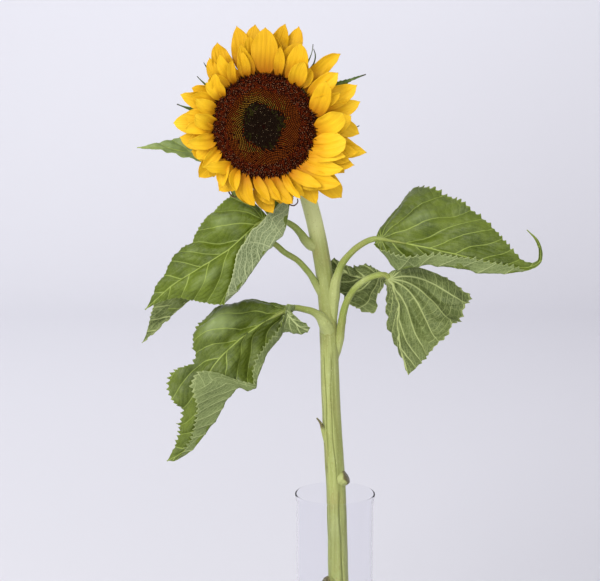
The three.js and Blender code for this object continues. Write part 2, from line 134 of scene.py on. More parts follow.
# Each leaf is worked out in rows across its rib, which is its centre line from stalk to tip.
# face: where the upper side looks, as one direction or one for each even step of the rib.
# Every other list holds values at even steps from stalk to tip, for the left and the right
# half as seen from above with the tip ahead:
#   width: half widths measured along the blade    wing: degrees the half rises from the rib
#   curl: degrees it bends on over its width       fold: share of the width where it folds
#   roll: degrees it folds there                   lobe: how far the base reaches back
# teeth: their spacing and depth. gutter: how deep the side veins are creased at their feet.
# ruffle: how far the margin waves up and down. bare: mm of each half's margin, from the stalk,
#   that carry no teeth. veins: side veins' spacing, their run for each mm out, and the degrees
#   between those that fan out at the stalk.
# swell: the blade's larger swellings and hollows, each as mm along the rib, mm to its left,
#   half length, half width, degrees from the rib, and height on the upper side.
LEAVES = {
    "upper_left": {
        "rib": [(-50, 7, 407.5), (-62.8, 0, 398), (-78.6, -6, 384.4), (-100.3, -10, 371),
                (-119.4, -9, 358.8), (-140, -3, 339.8)],
        "face": [(-0.15, -0.9, 0.4)],
        "left": {"width": [24, 34, 40, 43, 42, 36, 27, 17, 8, 3, 0], "wing": [6, 2, -6, -12, -14, -10, 0],
                 "curl": [0, 0, -16, -26, -14, 0],
                 "fold": [0.3, 0.38, 0.44, 0.5, 0.64, 0.82, 1.1, 1.2, 1.2, 1.2, 1.2],
                 "roll": [150, 156, 158, 160, 162, 158, 120, 0, 0, 0, 0], "lobe": 44},
        "right": {"width": [14, 27, 31, 30, 28.5, 27, 21, 20.5, 16, 10.5, 6, 3, 0],
                  "wing": [18, 12, 8, 2, 0], "curl": [-30, -26, -14], "lobe": 14},
        "teeth": (3.4, 1.3), "gutter": 0.9, "tone": "bright", "ruffle": 1.3, "bare": (0, 6),
        "veins": (17, 1.25, 28),
        "swell": [(26, -16, 16, 8, -35, 4.6), (44, -10, 14, 5, -25, -3), (60, -14, 18, 6, 0, 3.4),
                  (62, 9, 22, 6, 5, 4.2), (92, -6, 14, 5, 0, 2.2), (76, -2, 25, 3, 0, -1.6),
                  (90, 10, 12, 5, -30, -3)],
        "replaces": ["leaf_upper_left", "leaf_upper_left_folded_edge"],
    },
    "middle_left": {
        "rib": [(-47, 17, 386.7), (-71, 20, 372.1), (-96.5, 19, 353.4), (-118.7, 14, 335.3),
                (-144, 10, 312.5)],
        "face": [(-0.1, 0.98, 0.05)],
        "left": {"width": [4, 20, 26, 28, 27, 26, 24, 22, 14, 6, 0],
                 "wing": [50, 70, 75, 78, 76, 72, 58, 30, 8, 0, 0], "curl": [12], "lobe": 4},
        "right": {"width": [3, 14, 18, 18, 16, 13, 10, 7, 4, 2, 0], "wing": [140, 150, 150, 140],
                  "curl": [10], "lobe": 0},
        "teeth": (3.6, 1.3), "gutter": 1.2, "tone": "dull", "ruffle": 2.0, "bare": (0, 0),
        "veins": (15, 1.25, 24),
        "swell": [(105, 9, 14, 5, 0, -2.4), (70, 10, 20, 6, 0, 2)],
        "replaces": ["leaf_middle_left"],
    },
    "lower_left": {
        "rib": [(-31.6, 17, 338.3), (-45, 10, 333), (-58, 3, 326), (-74, -5, 315), (-86, -10, 304),
                (-93, -12, 294), (-96, -12, 282), (-98.5, -11, 264), (-104, -8, 246), (-113.5, -5, 233),
                (-125.5, -3, 225.5)],
        "face": [(-0.1, -0.9, 0.42)],
        "left": {"width": [10, 20, 27, 28, 28, 29, 31, 35, 40, 46, 55, 58, 47, 35, 27, 20, 13.5, 9.5, 7, 4.5,
                           0], "wing": [-30, -54, -56, -46, -30, -10, -3, 0, 0, 0],
                 "curl": [20, 40, 54, 44, 10, 0, 0, 0],
                 "fold": [0.2, 0.3, 0.42, 0.56, 0.66, 0.73, 0.78, 0.82, 0.85, 0.69, 0.43, 0.37, 0.38, 0.4,
                          0.41, 0.4, 0.42, 0.46, 0.5, 0.6, 1.1],
                 "roll": [120, 150, 150, 145, 140, 140, 140, 145, 150, 158, 162, 164, 164, 164, 164, 162,
                          160, 155, 140, 80, 0], "lobe": 12},
        "right": {"width": [2, 9, 17, 24, 29, 32, 34, 33, 30, 22, 14, 26, 27, 22, 14, 13, 13, 11, 8, 5, 0],
                  "wing": [-4, 12, 20, 18, 10, 4, 0, 0], "curl": [-20, -50, -70, -50, -20, 0, 0, 0],
                  "lobe": 0},
        "teeth": (3.9, 3.2), "gutter": 1.0, "tone": "deep", "ruffle": 1.6, "bare": (4, 62),
        "veins": (19, 1.5, 24),
        "swell": [(52, -19, 16, 8, 0, 7.5), (38, -5, 26, 3, 0, -4.4), (44, -10, 20, 3, 0, 2),
                  (32, 9, 24, 6, 0, -6), (54, 20, 12, 8, 0, -6), (58, 9, 20, 4, 0, 3.4),
                  (90, -10, 16, 6, 0, -3), (112, -4, 22, 4, 0, 2)],
        "replaces": ["leaf_lower_left", "leaf_lower_left_folded_edge"],
    },
    "lower_left_lobe": {
        "rib": [(-37, 13, 336), (-33, 9.5, 331), (-28.6, 8.6, 326.6), (-24.4, 9.6, 323.8),
                (-19.6, 11, 322.2)],
        "face": [(0.1, 0.95, 0.2)],
        "left": {"width": [15, 16, 14, 10, 6, 2.5], "wing": [6], "curl": [6], "lobe": 0},
        "right": {"width": [3, 3.5, 4, 5, 5, 2.5], "wing": [10, -6], "curl": [-30], "lobe": 0},
        "teeth": (2.6, 0.9), "gutter": 0.6, "tone": "deep", "ruffle": 1.0, "bare": (0, 0),
        "veins": (9, 1.4, 30),
        "swell": [(10, 0, 8, 3, 0, 1.2)],
        "replaces": [],
    },
    "upper_right": {
        "rib": [(30, 17, 390.5), (45, 10, 388.5), (62, 3, 386), (90, -6, 380.5), (119, -8, 374),
                (140, -5, 371.5), (148, -5, 375.5), (148.5, -6, 384.5), (145, -7, 392.5), (138, -9, 399.5)],
        "face": [(0.05, -0.9, 0.4)],
        "left": {"width": [10, 40, 48, 48, 46, 42, 38, 33, 27, 20, 12, 5, 1.9, 1.4, 1, 0],
                 "wing": [2, 6, 10, 12, 12], "curl": [-30, -26, -18, -8], "lobe": 7},
        "right": {"width": [6, 20, 33, 31, 22, 20, 20, 19, 18, 15, 11, 4.4, 1.7, 1.3, 0.9, 0],
                  "wing": [-26, -26, -20, -6, 0, 5], "curl": [14],
                  "fold": [0.6, 0.58, 0.56, 0.58, 0.58, 0.52, 0.5, 0.48, 0.48, 0.48, 0.5, 0.6, 1, 1.2, 1.2,
                           1.2],
                  "roll": [60, 125, 140, 142, 146, 150, 152, 152, 150, 148, 146, 100, 0, 0, 0, 0],
                  "lobe": 2},
        "teeth": (4.6, 3.0), "gutter": 1.3, "tone": "deep", "ruffle": 1.2, "bare": (22, 0),
        "veins": (19, 1.5, 26),
        "swell": [(30, 20, 20, 7, 35, 4.2), (48, 12, 22, 5, 20, -3), (66, 20, 22, 7, 15, 3.2),
                  (90, 10, 24, 5, 0, -2.2), (24, 6, 14, 4, 10, -2.4), (105, 14, 18, 5, -10, 2),
                  (50, 30, 14, 6, -10, -2)],
        "replaces": ["leaf_upper_right"],
    },
    "lower_right": {
        "rib": [(38, 16.5, 362.6), (42.8, 14.5, 356.5), (45.8, 12, 349), (46.8, 8.5, 340), (46.6, 4, 328),
                (47, 1.5, 317), (49.7, 0, 305), (54, -1, 290.5)],
        "face": [(0.1, 0.95, 0.25)],
        "left": {"width": [7, 14, 17, 18, 17, 16, 14, 12, 9, 5, 0], "wing": [30, 34, 38, 42, 44, 44],
                 "curl": [30], "lobe": 0},
        "right": {"width": [6, 14, 28, 40, 49, 54, 52, 48, 45, 44, 43, 41, 39, 36, 33, 29, 25, 20, 14, 7, 0],
                  "wing": [6, -4, -12, -16], "curl": [30, 20, -10, -20, -10], "lobe": -3.5},
        "teeth": (5.6, 2.8), "gutter": 2.6, "tone": "dull", "ruffle": 1.6, "bare": (60, 30),
        "veins": (22, 2.3, 17),
        "swell": [(8, -24, 22, 5, -75, -3.4), (18, -28, 20, 5, -62, 3.4), (30, -22, 20, 5, -48, -3.6),
                  (44, -20, 18, 5, -35, 3), (54, -9, 18, 4, -15, -2.6), (20, -8, 14, 4, -40, -2)],
        "replaces": ["leaf_lower_right"],
    },
    "back_lobe": {
        "rib": [(37, 21, 362), (26, 29, 360), (15, 37, 359), (6, 43, 363), (-1.5, 44, 371)],
        "face": [(0, 0.9, 0.4)],
        "left": {"width": [2, 6, 9, 8, 6, 4, 2], "wing": [10], "curl": [40], "lobe": 0},
        "right": {"width": [4, 13, 19, 27, 24, 16, 11, 7, 3], "wing": [-10, 0], "curl": [-40, -60],
                  "lobe": 0},
        "teeth": (5, 2), "gutter": 2.4, "tone": "dull", "ruffle": 1.6, "bare": (0, 0),
        "veins": (13, 1.4, 26),
        "swell": [(20, -10, 8, 4, -60, -2.5)],
        "replaces": ["leaf_lower_right_back_lobe"],
    },
    "behind_head": {
        "rib": [(-79, 35, 448.4), (-98, 34, 450.7), (-108.4, 33, 452.4), (-123, 31, 455.4),
                (-137.8, 29.5, 456.6), (-147.5, 30, 456.6)],
        "face": [(-0.1, -0.62, 0.78)],
        "left": {"width": [5, 9, 9, 6, 3, 0], "wing": [10], "curl": [0], "lobe": 0},
        "right": {"width": [7, 13, 13, 9, 4, 0], "wing": [20, 10], "curl": [0], "lobe": 0},
        "teeth": (4.5, 0.6), "gutter": 0.6, "tone": "pale", "ruffle": 0.9, "bare": (0, 0),
        "veins": (17, 1.6, 30),
        "swell": [],
        "replaces": ["leaf_behind_head"],
    },
}

# Each ray petal: (angle of its root, angle of its tip, radius of its tip, half width, how far
# its tip stands towards the viewer, twist in degrees, cup in degrees, bluntness of the tip).
# Angles run anticlockwise from the head's right, as the viewer sees it.
BACK_PETALS = [
    (23, 23.5, 72, 8, 0, 6, 16, 0.3), (41, 43, 74, 5.8, 1, -10, 26, 0.8), (60, 61, 56.5, 7.2, 1, 5, 22, 0.4),
    (72, 70.5, 73.5, 7.4, 0, 8, 18, 0.2), (82, 77.7, 73, 7.4, 1, -6, 12, 0.1),
    (96, 95, 71, 8, -1, 6, 14, 0.2), (109, 105.4, 72.5, 8.2, 1, 8, 12, 0.1),
    (122, 119.4, 67.3, 7.6, 2, -8, 16, 0.2), (131, 129, 61.6, 6, 3, 10, 18, 0.2),
    (153, 152.5, 58, 6, 3, -10, 24, 0.1), (164, 160, 64, 6.8, 2, 8, 20, 0.1),
    (178, 179, 66.5, 8.4, 2, -6, 14, 0.1), (191, 188, 62.5, 7.6, 3, 8, 20, 0.1),
    (203, 199, 56.5, 7.4, 4, -12, 22, 0.2), (217, 218, 61, 7.6, 2, 14, 16, 0.3),
    (233, 234.5, 58.5, 7.8, 2, -8, 20, 0.2), (250, 252, 55, 7.2, 3, 8, 24, 0.4),
    (268, 275, 63.5, 8.2, 2, -10, 16, 0), (283, 280, 58, 8, 0, 10, 14, 0.3),
    (299, 302.5, 67.5, 7.6, 1, -10, 20, 0.2), (319, 316, 75.5, 8.4, -2, 6, 12, 0.8),
    (334, 329, 66, 7.4, -1, -6, 14, 0.4), (349, 345, 75, 7.4, 0, 8, 20, 0.1),
    (2, 355, 67.5, 7.6, 0, 6, 16, 0.5), (11, 13.8, 70, 7.2, 0, -6, 20, 0.2),
]
MIDDLE_PETALS = [
    (31, 35.5, 65, 6.8, 4, 8, 26, 0.7), (51, 51, 53, 6.4, 5, -8, 22, 0.5), (67, 65, 64.5, 8, 5, 8, 18, 0.4),
    (81, 84, 65, 6.6, 4, 0, 16, 0.3), (99, 98, 64, 7.2, 4, -8, 18, 0.3), (118, 121, 59, 6, 6, 10, 24, 0.2),
    (137, 140, 50.5, 5.4, 8, -12, 30, 0.8), (157, 157, 55, 6.6, 9, 10, 28, 0.3),
    (172, 171, 57, 6.8, 7, -8, 26, 0.3), (186, 194, 57, 7, 6, 12, 24, 0.2),
    (199, 206, 53, 6.4, 8, -14, 28, 0.3), (212, 225, 52, 6, 7, 16, 26, 0.3),
    (229, 243, 53, 6, 7, -16, 26, 0.2), (243, 259, 58, 5.4, 5, 18, 26, 0.2),
    (262, 277, 56, 5.2, 6, -14, 24, 0.3), (277, 290, 58.5, 5.4, 5, 16, 22, 0.8),
    (290, 299, 58, 4, 5, -18, 28, 0.3), (299, 316, 60, 5, 4, 10, 22, 0.3),
    (319, 337, 70, 7.2, 2, -8, 16, 0.2), (336, 338, 66, 6.8, 4, 8, 20, 0.3),
    (347, 345, 70, 6.8, 4, -8, 24, 0.1), (357, 7, 62.5, 7.4, 4, 6, 20, 0.3),
]
FRONT_PETALS = [
    (12, 36, 56, 7.2, 13, 10, 14, 0.75), (354, 11, 58.5, 8.2, 13, -8, 12, 0.7),
    (338, 352, 59.5, 8.8, 11, 8, 10, 0.8), (24, 24, 60, 5.5, 9, -24, 30, 0.5),
    (51, 56.5, 55, 6.6, 10, -8, 16, 0.35), (61, 65, 65, 7.8, 8, 8, 16, 0.35),
    (74, 77, 58, 4.2, 8, 10, 30, 0.2), (88, 88, 69.5, 9.8, 7, 0, 10, 0.2),
    (103, 104, 60, 5.6, 7, -6, 22, 0.15), (109, 104, 54.5, 4.6, 9, 12, 26, 0.4),
    (124, 113.7, 51, 3.3, 11, 10, 36, 0.9), (148, 131, 50, 5.6, 11, 16, 30, 0.3),
    (148, 142, 50.5, 4.6, 9, -14, 34, 0.7), (162, 157, 50.5, 5.6, 11, -14, 30, 0.3),
    (178, 169, 48.5, 6.8, 15, 12, 64, 1), (184, 183, 55, 5.4, 10, -14, 34, 0.4),
    (195, 190, 53, 6, 11, 12, 34, 0.4), (206, 213, 52, 5.4, 10, 18, 32, 0.4),
    (231, 214, 49, 5.2, 13, -30, 40, 0.6), (222, 236, 52, 4.8, 8, -20, 32, 0.4),
    (238, 247, 49, 4.4, 11, 34, 40, 0.2), (247, 263, 57, 5.2, 8, -18, 30, 0.3),
    (258, 275, 53, 4, 10, 20, 30, 0.2), (269, 284, 53, 4.6, 8, -16, 28, 0.4),
    (280, 291, 58, 5, 9, 18, 24, 0.5), (291, 298, 57, 3.4, 10, -28, 34, 0.3),
    (298, 315, 59, 4.6, 9, 14, 24, 0.3), (305, 324, 68.5, 6.6, 7, 12, 18, 0.3),
    (317, 333, 64, 5.8, 6, -8, 20, 0.3), (326, 341, 62, 5.6, 8, 14, 24, 0.3),
]
PETAL_PROFILE = [0.26, 0.56, 0.8, 0.95, 1, 0.97, 0.86, 0.66, 0.38, 0]
BLUNT_PROFILE = [0.28, 0.58, 0.8, 0.93, 1, 1, 0.98, 0.9, 0.7, 0.06]
# Each ring of petals: where it starts, as a radius and a height above the head's plane, how far
# its petals arch towards the viewer on the way, how pale they are, and how uneven.
PETAL_RINGS = {
    "back": {"petals": BACK_PETALS, "root": 36.0, "base": 1.0, "arch": 1.5, "node": "petal_outer",
             "pale": 0.5, "relief": 1.0},
    "middle": {"petals": MIDDLE_PETALS, "root": 35.6, "base": 3.4, "arch": 2.5, "node": "petal_inner",
               "pale": 0.7, "relief": 0.8},
    "front": {"petals": FRONT_PETALS, "root": 35.4, "base": 5.6, "arch": 3.2, "node": None, "pale": 0.9,
              "relief": 0.6},
}
PAINTED_LIGHT_AT_SIDES = 1.5  # how much paler the petals are painted to the left and right than above and below, as painted light
RIBBED_HEADING, RIBBED_SPREAD = 92, 30  # degrees: the petals that are finely pleated

# Bracts behind the petals: (angle of the root, angle of the tip, tip radius, half width, degrees
# that the last part curls round). The first ones reach past the petals.
BRACTS = [
    (31, 27, 77.5, 6, -6), (56, 55.2, 65, 3.0, 30), (51.5, 50.6, 64, 2.8, 55), (141, 136, 60.5, 5, -14),
    (149, 146, 58, 5, -12), (171, 168, 63.5, 6.5, -8), (230, 240, 58, 3, 60), (276, 288, 62.5, 2.6, 130),
    (224, 223, 52, 5, 10), (352, 356.5, 66, 5, 30), (264, 265.5, 61, 4.5, 10), (8, 8, 56, 7, 10),
    (40, 41, 56, 7, -8), (70, 70, 60, 7, 10), (83, 84, 58, 7.5, -10), (96, 96, 60, 7, 12),
    (110, 110, 58, 7.5, 8), (123, 124, 54, 7, -12), (155, 156, 52, 7, 10), (178, 179, 57, 7.5, -8),
    (190, 190, 54, 7, 10), (203, 204, 50, 7, 12), (213, 213, 50, 7, -8), (236, 236, 50, 7, 10),
    (252, 252, 50, 7, -12), (277, 277, 54, 7, 8), (302, 302, 58, 7.5, -10), (315, 315, 62, 7, 12),
    (328, 328, 58, 7.5, -8), (342, 342, 62, 7, 10),
]
BRACT_PROFILE = [0.85, 1, 0.95, 0.8, 0.58, 0.36, 0.2, 0.11, 0.06]
BRACT_ROOT = 22  # radius at which the bracts come out of the cup
BRACT_HEIGHTS = [(0, -9.7), (0.25, -7.2), (0.5, -2.6), (0.75, -2.1)]  # (share of its length, mm)
BRACT_CUP = 18  # degrees that a bract curves up from its middle to its edge
SERRATE_TIP = 75  # a bract that reaches further than this radius has a toothed edge
TENDRIL = {"heights": (-3, 3), "radius": 0.75, "thinner": 0.35}  # from its root to its tip
# Thin dry bracts that curl out between the petals, as (radius, angle) points.
TENDRILS = [
    [(44, 282), (54, 284.5), (59.5, 286), (61.5, 289), (60, 292.5), (57.5, 293.5)],
    [(44, 236), (52, 238), (56, 241), (57.2, 245), (56, 247.5)],
    [(40, 122), (43, 122.5), (46, 122.5), (48, 121), (49, 119)],
]

# ---- Leaf veins, teeth and waves ----

CELL_ALONG, CELL_ACROSS = 0.62, 0.95  # size of a leaf mesh's cells
BRANCH_START = 4.0  # from the stalk to the first pair of side veins
RIGHT_LAG = 0.4  # share of a step by which the right half's side veins start later
BRANCH_BEND = 0.006  # how much a side vein curves on towards the tip
LADDER_SPACING = 5.2  # between the cross veins that join the side veins
LOBE_REACH = 0.34  # share of a leaf's length that its swept-back lobes take
NARROWEST = 0.4  # half width that is left at both ends of a blade
FOLD_SOFTNESS = 0.1  # share of the half width over which a fold bends
TOOTH_REACH = 0.12  # share of the half width that the teeth take
SHEET = 0.13  # from the middle of the blade to either surface
# A tooth of a leaf's margin: where its point is, the rest of its length, how its long side
# bows, the mm over which the teeth fade in, and the half width at which they are full size.
TOOTH = {"point": 0.82, "back": 0.18, "bow": 1.7, "fade": 14, "full_width": 11}
# Heights of a blade's relief in mm, and the mm over which each rises from a vein.
BLISTER = {"height": 0.8, "from_vein": 4, "rung_height": 0.35, "from_rung": 2}
GUTTER = {"from_branch": 6, "starts": 12, "fades": 30, "gone": 55}
SWELL_WAVES = {"height": 1.1, "length": 26, "from_rib": 10}
PUCKER = {"height": 0.28, "length": 7, "count": 9}
RUFFLE = {"length": 21, "round_the_margin": 8, "from_rib": 14}
VEIN_RIDGES = {"rib": 1.1, "rib_width": 1.2, "rib_taper": 0.8, "branch": 0.45, "branch_width": 0.8}
FLAT_PAST_FOLD = 0.7  # share of the relief that a folded flap loses
SHEEN_FULL_SWELL = 7  # mm of swelling at which a blade's painted sheen is full
# How far apart the pieces of one kind are set in the patterns' own space, so that no two match.
PATTERN_STEP = {"leaf": 7.0, "petal": 3.0, "bract": 5.0}

# ---- Small helpers ----


def unit(vectors):
    """The same directions at length 1."""
    return vectors / np.maximum(np.linalg.norm(vectors, axis=-1, keepdims=True), 1e-12)


def smooth(x):
    """0 below 0, 1 above 1, and an even S between."""
    x = np.clip(x, 0, 1)
    return x * x * (3 - 2 * x)


def through(values, share):
    """A value that runs smoothly through a list, whose entries are spaced evenly from 0 to 1."""
    values = np.asarray(values, float)
    share = np.asarray(share, float)
    if len(values) == 1:
        return np.full(share.shape + values.shape[1:], 1.0) * values[0]
    place = np.clip(share, 0, 1) * (len(values) - 1)
    start = np.minimum(place.astype(int), len(values) - 2)
    t = place - start
    if values.ndim > 1:
        t = t[..., None]
    before, here, there, after = (values[np.clip(start + k, 0, len(values) - 1)] for k in (-1, 0, 1, 2))
    slope_in, slope_out, rise = (there - before) / 2, (after - here) / 2, there - here
    squared = 3 * rise - 2 * slope_in - slope_out
    cubed = slope_in + slope_out - 2 * rise
    return here + t * (slope_in + t * (squared + t * cubed))


class Curve:
    """A smooth curve through points, read by the share of its length from 0 to 1."""

    SAMPLES = 60  # for each stretch between two points
    STEP = 0.004  # share of the length on either side that a tangent is taken over

    def __init__(self, points):
        p = np.array(points, float)
        p = np.vstack([2 * p[0] - p[1], p, 2 * p[-1] - p[-2]])
        stretches = []
        for a, b, c, d in zip(p, p[1:], p[2:], p[3:]):
            gaps = [np.linalg.norm(y - x) ** 0.5 for x, y in ((a, b), (b, c), (c, d))]
            leave = ((b - a) / gaps[0] - (c - a) / (gaps[0] + gaps[1])) * gaps[1] + (c - b)
            arrive = ((d - c) / gaps[2] - (d - b) / (gaps[1] + gaps[2])) * gaps[1] + (c - b)
            squared = 3 * (c - b) - 2 * leave - arrive
            cubed = 2 * (b - c) + leave + arrive
            t = np.linspace(0, 1, self.SAMPLES, endpoint=False)[:, None]
            stretches.append(b + t * leave + t**2 * squared + t**3 * cubed)
        self.line = np.vstack(stretches + [p[-2:-1]])
        self.at = np.concatenate([[0], np.cumsum(np.linalg.norm(np.diff(self.line, axis=0), axis=1))])
        self.length = self.at[-1]

    def point(self, share):
        at = np.clip(share, 0, 1) * self.length
        return np.stack([np.interp(at, self.at, self.line[:, k]) for k in range(3)], -1)

    def tangent(self, share):
        share = np.clip(share, self.STEP, 1 - self.STEP)
        return unit(self.point(share + self.STEP) - self.point(share - self.STEP))


def round_axes(tangent):
    """Directions to the right of a tube and to the back of it, square to its tangents."""
    right = unit(np.array([1.0, 0, 0]) - tangent[:, :1] * tangent)
    return right, np.cross(tangent, right)


def wrapped(degrees):
    """The same heading, between -180 and 180."""
    return (degrees + 180) % 360 - 180


def polar(radius, angle, height):
    """Points at a radius and angle round +Z, and at a height."""
    around = (radius * np.cos(angle), radius * np.sin(angle), height)
    return np.stack(np.broadcast_arrays(*around), -1)


def turned(points, degrees_about_z):
    """Points turned anticlockwise about +Z."""
    a = math.radians(degrees_about_z)
    turn = np.array([[math.cos(a), -math.sin(a), 0], [math.sin(a), math.cos(a), 0], [0, 0, 1]])
    return points @ turn.T


def head_to_world(points):
    """Points in the head's own frame, in the part's frame."""
    tilt = math.radians(90 + HEAD["nodding_down"])
    lean = np.array([[1, 0, 0], [0, math.cos(tilt), -math.sin(tilt)], [0, math.sin(tilt), math.cos(tilt)]])
    return turned(points @ lean.T, -HEAD["turn_left"]) + np.array(HEAD["place"])


# ---- Meshes ----


def linked(name, data):
    """A new object in the scene."""
    thing = bpy.data.objects.new(name, data)
    bpy.context.scene.collection.objects.link(thing)
    return thing


def new_piece(name, vertices, faces, materials, indices=None, values=None, vectors=None):
    """One mesh in the part's frame that rides with the plant. faces is a list of index arrays."""
    counts = np.concatenate([np.full(len(f), f.shape[1]) for f in faces])
    corners = np.concatenate([f.ravel() for f in faces])
    mesh = bpy.data.meshes.new(name)
    mesh.vertices.add(len(vertices))
    mesh.vertices.foreach_set("co", (np.asarray(vertices) * MM).astype(np.float32).ravel())
    mesh.loops.add(len(corners))
    mesh.loops.foreach_set("vertex_index", corners.astype(np.int32))
    mesh.polygons.add(len(counts))
    mesh.polygons.foreach_set("loop_start", np.concatenate([[0], np.cumsum(counts)[:-1]]).astype(np.int32))
    for material in materials:
        mesh.materials.append(material)
    if indices is not None:
        mesh.polygons.foreach_set("material_index", np.asarray(indices, np.int32))
    mesh.update(calc_edges=True)
    mesh.shade_smooth()
    for key, numbers in (values or {}).items():
        layer = mesh.attributes.new(key, "FLOAT", "POINT")
        layer.data.foreach_set("value", np.asarray(numbers, np.float32).ravel())
    for key, numbers in (vectors or {}).items():
        layer = mesh.attributes.new(key, "FLOAT_VECTOR", "POINT")
        layer.data.foreach_set("vector", np.asarray(numbers, np.float32).ravel())
    piece = linked(name, mesh)
    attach(piece, "root")
    return piece


def quads(index):
    """Faces of a grid of vertex numbers, facing the way that along times across points."""
    return np.stack([index[:-1, :-1], index[1:, :-1], index[1:, 1:], index[:-1, 1:]], -1).reshape(-1, 4)


def grid_normals(points):
    """Directions square to a grid of points."""
    return unit(np.cross(np.gradient(points, axis=0), np.gradient(points, axis=1)))


def thin_solid(points, above, below):
    """A closed thin sheet round a grid of points: vertices, faces and the side each face is on.

    above and below say how far its two surfaces lie from the grid."""
    rows, columns = points.shape[:2]
    normals = grid_normals(points)
    upper = points + normals * above[..., None]
    under = points - normals * below[..., None]
    count = rows * columns
    index = np.arange(count).reshape(rows, columns)
    loop = np.concatenate([index[:, 0], index[-1, 1:], index[-2::-1, -1], index[0, -2:0:-1]])
    ahead = np.roll(loop, -1)
    rim = np.stack([ahead, loop, loop + count, ahead + count], -1)
    top = quads(index)
    faces = np.concatenate([top, top[:, ::-1] + count, rim])
    sides = np.concatenate([np.zeros(len(top)), np.ones(len(top)), np.zeros(len(rim))])
    return np.concatenate([upper.reshape(-1, 3), under.reshape(-1, 3)]), faces, sides


def doubled(*grids):
    """Each grid's numbers for the vertices of a thin solid made round it."""
    return [np.tile(grid.ravel(), 2) for grid in grids]


def pattern_place(along, aside, number):
    """Where each vertex lies in the patterns' own space: mm along, mm aside, and the piece's own layer."""
    return {"flat": np.stack([along, aside, np.full(len(along), number)], -1)}


def head_sheet(name, points, half_thickness, finish, share, along, aside, layer):
    """A petal or bract: a thin solid from a grid of points in the head's own frame."""
    points = head_to_world(points)
    sheet = np.full(share.shape, half_thickness)
    vertices, faces, _ = thin_solid(points, sheet, sheet)
    share, along, aside = doubled(share, along, aside)
    return new_piece(name, vertices, [faces], [finish], None, {"along": share},
                     pattern_place(along, aside, layer))


def capped(rings, sides):
    """Faces over rings of vertices, closed at each end round one of the two vertices after them."""
    count = rings * sides
    index = np.arange(count).reshape(rings, sides)
    index = np.concatenate([index, index[:, :1]], 1)
    fans = [np.stack([np.full(sides, count), index[0, 1:], index[0, :-1]], -1),
            np.stack([np.full(sides, count + 1), index[-1, :-1], index[-1, 1:]], -1)]
    return [quads(index)[:, ::-1], np.concatenate(fans)]


def tube(curve, radii_at, sides, rings, ends=(0.0, 1.0)):
    """A capped tube: vertices, faces, and each vertex's share along and angle round.

    Angle 0 is to the right and -90 degrees towards the viewer. radii_at(share, angle)."""
    share = np.linspace(*ends, rings)
    centre = curve.point(share)
    right, back = round_axes(curve.tangent(share))
    angle = np.linspace(0, TURN, sides, endpoint=False)
    radius = radii_at(share[:, None], angle[None, :])[..., None]
    ring = np.cos(angle)[None, :, None] * right[:, None] + np.sin(angle)[None, :, None] * back[:, None]
    points = centre[:, None] + ring * radius
    vertices = np.concatenate([points.reshape(-1, 3), centre[:1], centre[-1:]])
    along = np.concatenate([np.repeat(share, sides), [ends[0], ends[1]]])
    round_ = np.concatenate([np.tile(angle, rings), [0, 0]])
    return vertices, capped(rings, sides), along, round_


def lathe(profile, sides):
    """A closed solid turned about +Z from (radius, height) points that start and end on the axis."""
    profile = np.array(profile, float)
    angle = np.linspace(0, TURN, sides, endpoint=False)
    radius, height = profile[1:-1, :1], profile[1:-1, 1:]
    points = polar(radius, angle, height)
    ends = np.array([[0, 0, profile[0, 1]], [0, 0, profile[-1, 1]]])
    return np.concatenate([points.reshape(-1, 3), ends]), capped(len(radius), sides)


def scatter(shape, places, frames, sizes):
    """Copies of a small shape (vertices, faces): frames hold each copy's three axes as columns."""
    vertices, faces = shape
    spots = np.einsum("nij,vj->nvi", frames, vertices) * sizes[:, None, None] + places[:, None]
    steps = np.arange(len(places))[:, None, None] * len(vertices)
    return spots.reshape(-1, 3), (faces[None] + steps).reshape(-1, faces.shape[1])


# ---- Materials ----


def colour(code):
    """Linear red, green, blue and alpha from a hex code."""
    parts = [int(code[k:k + 2], 16) / 255 for k in (1, 3, 5)]
    return [c / 12.92 if c <= 0.04045 else ((c + 0.055) / 1.055) ** 2.4 for c in parts] + [1]


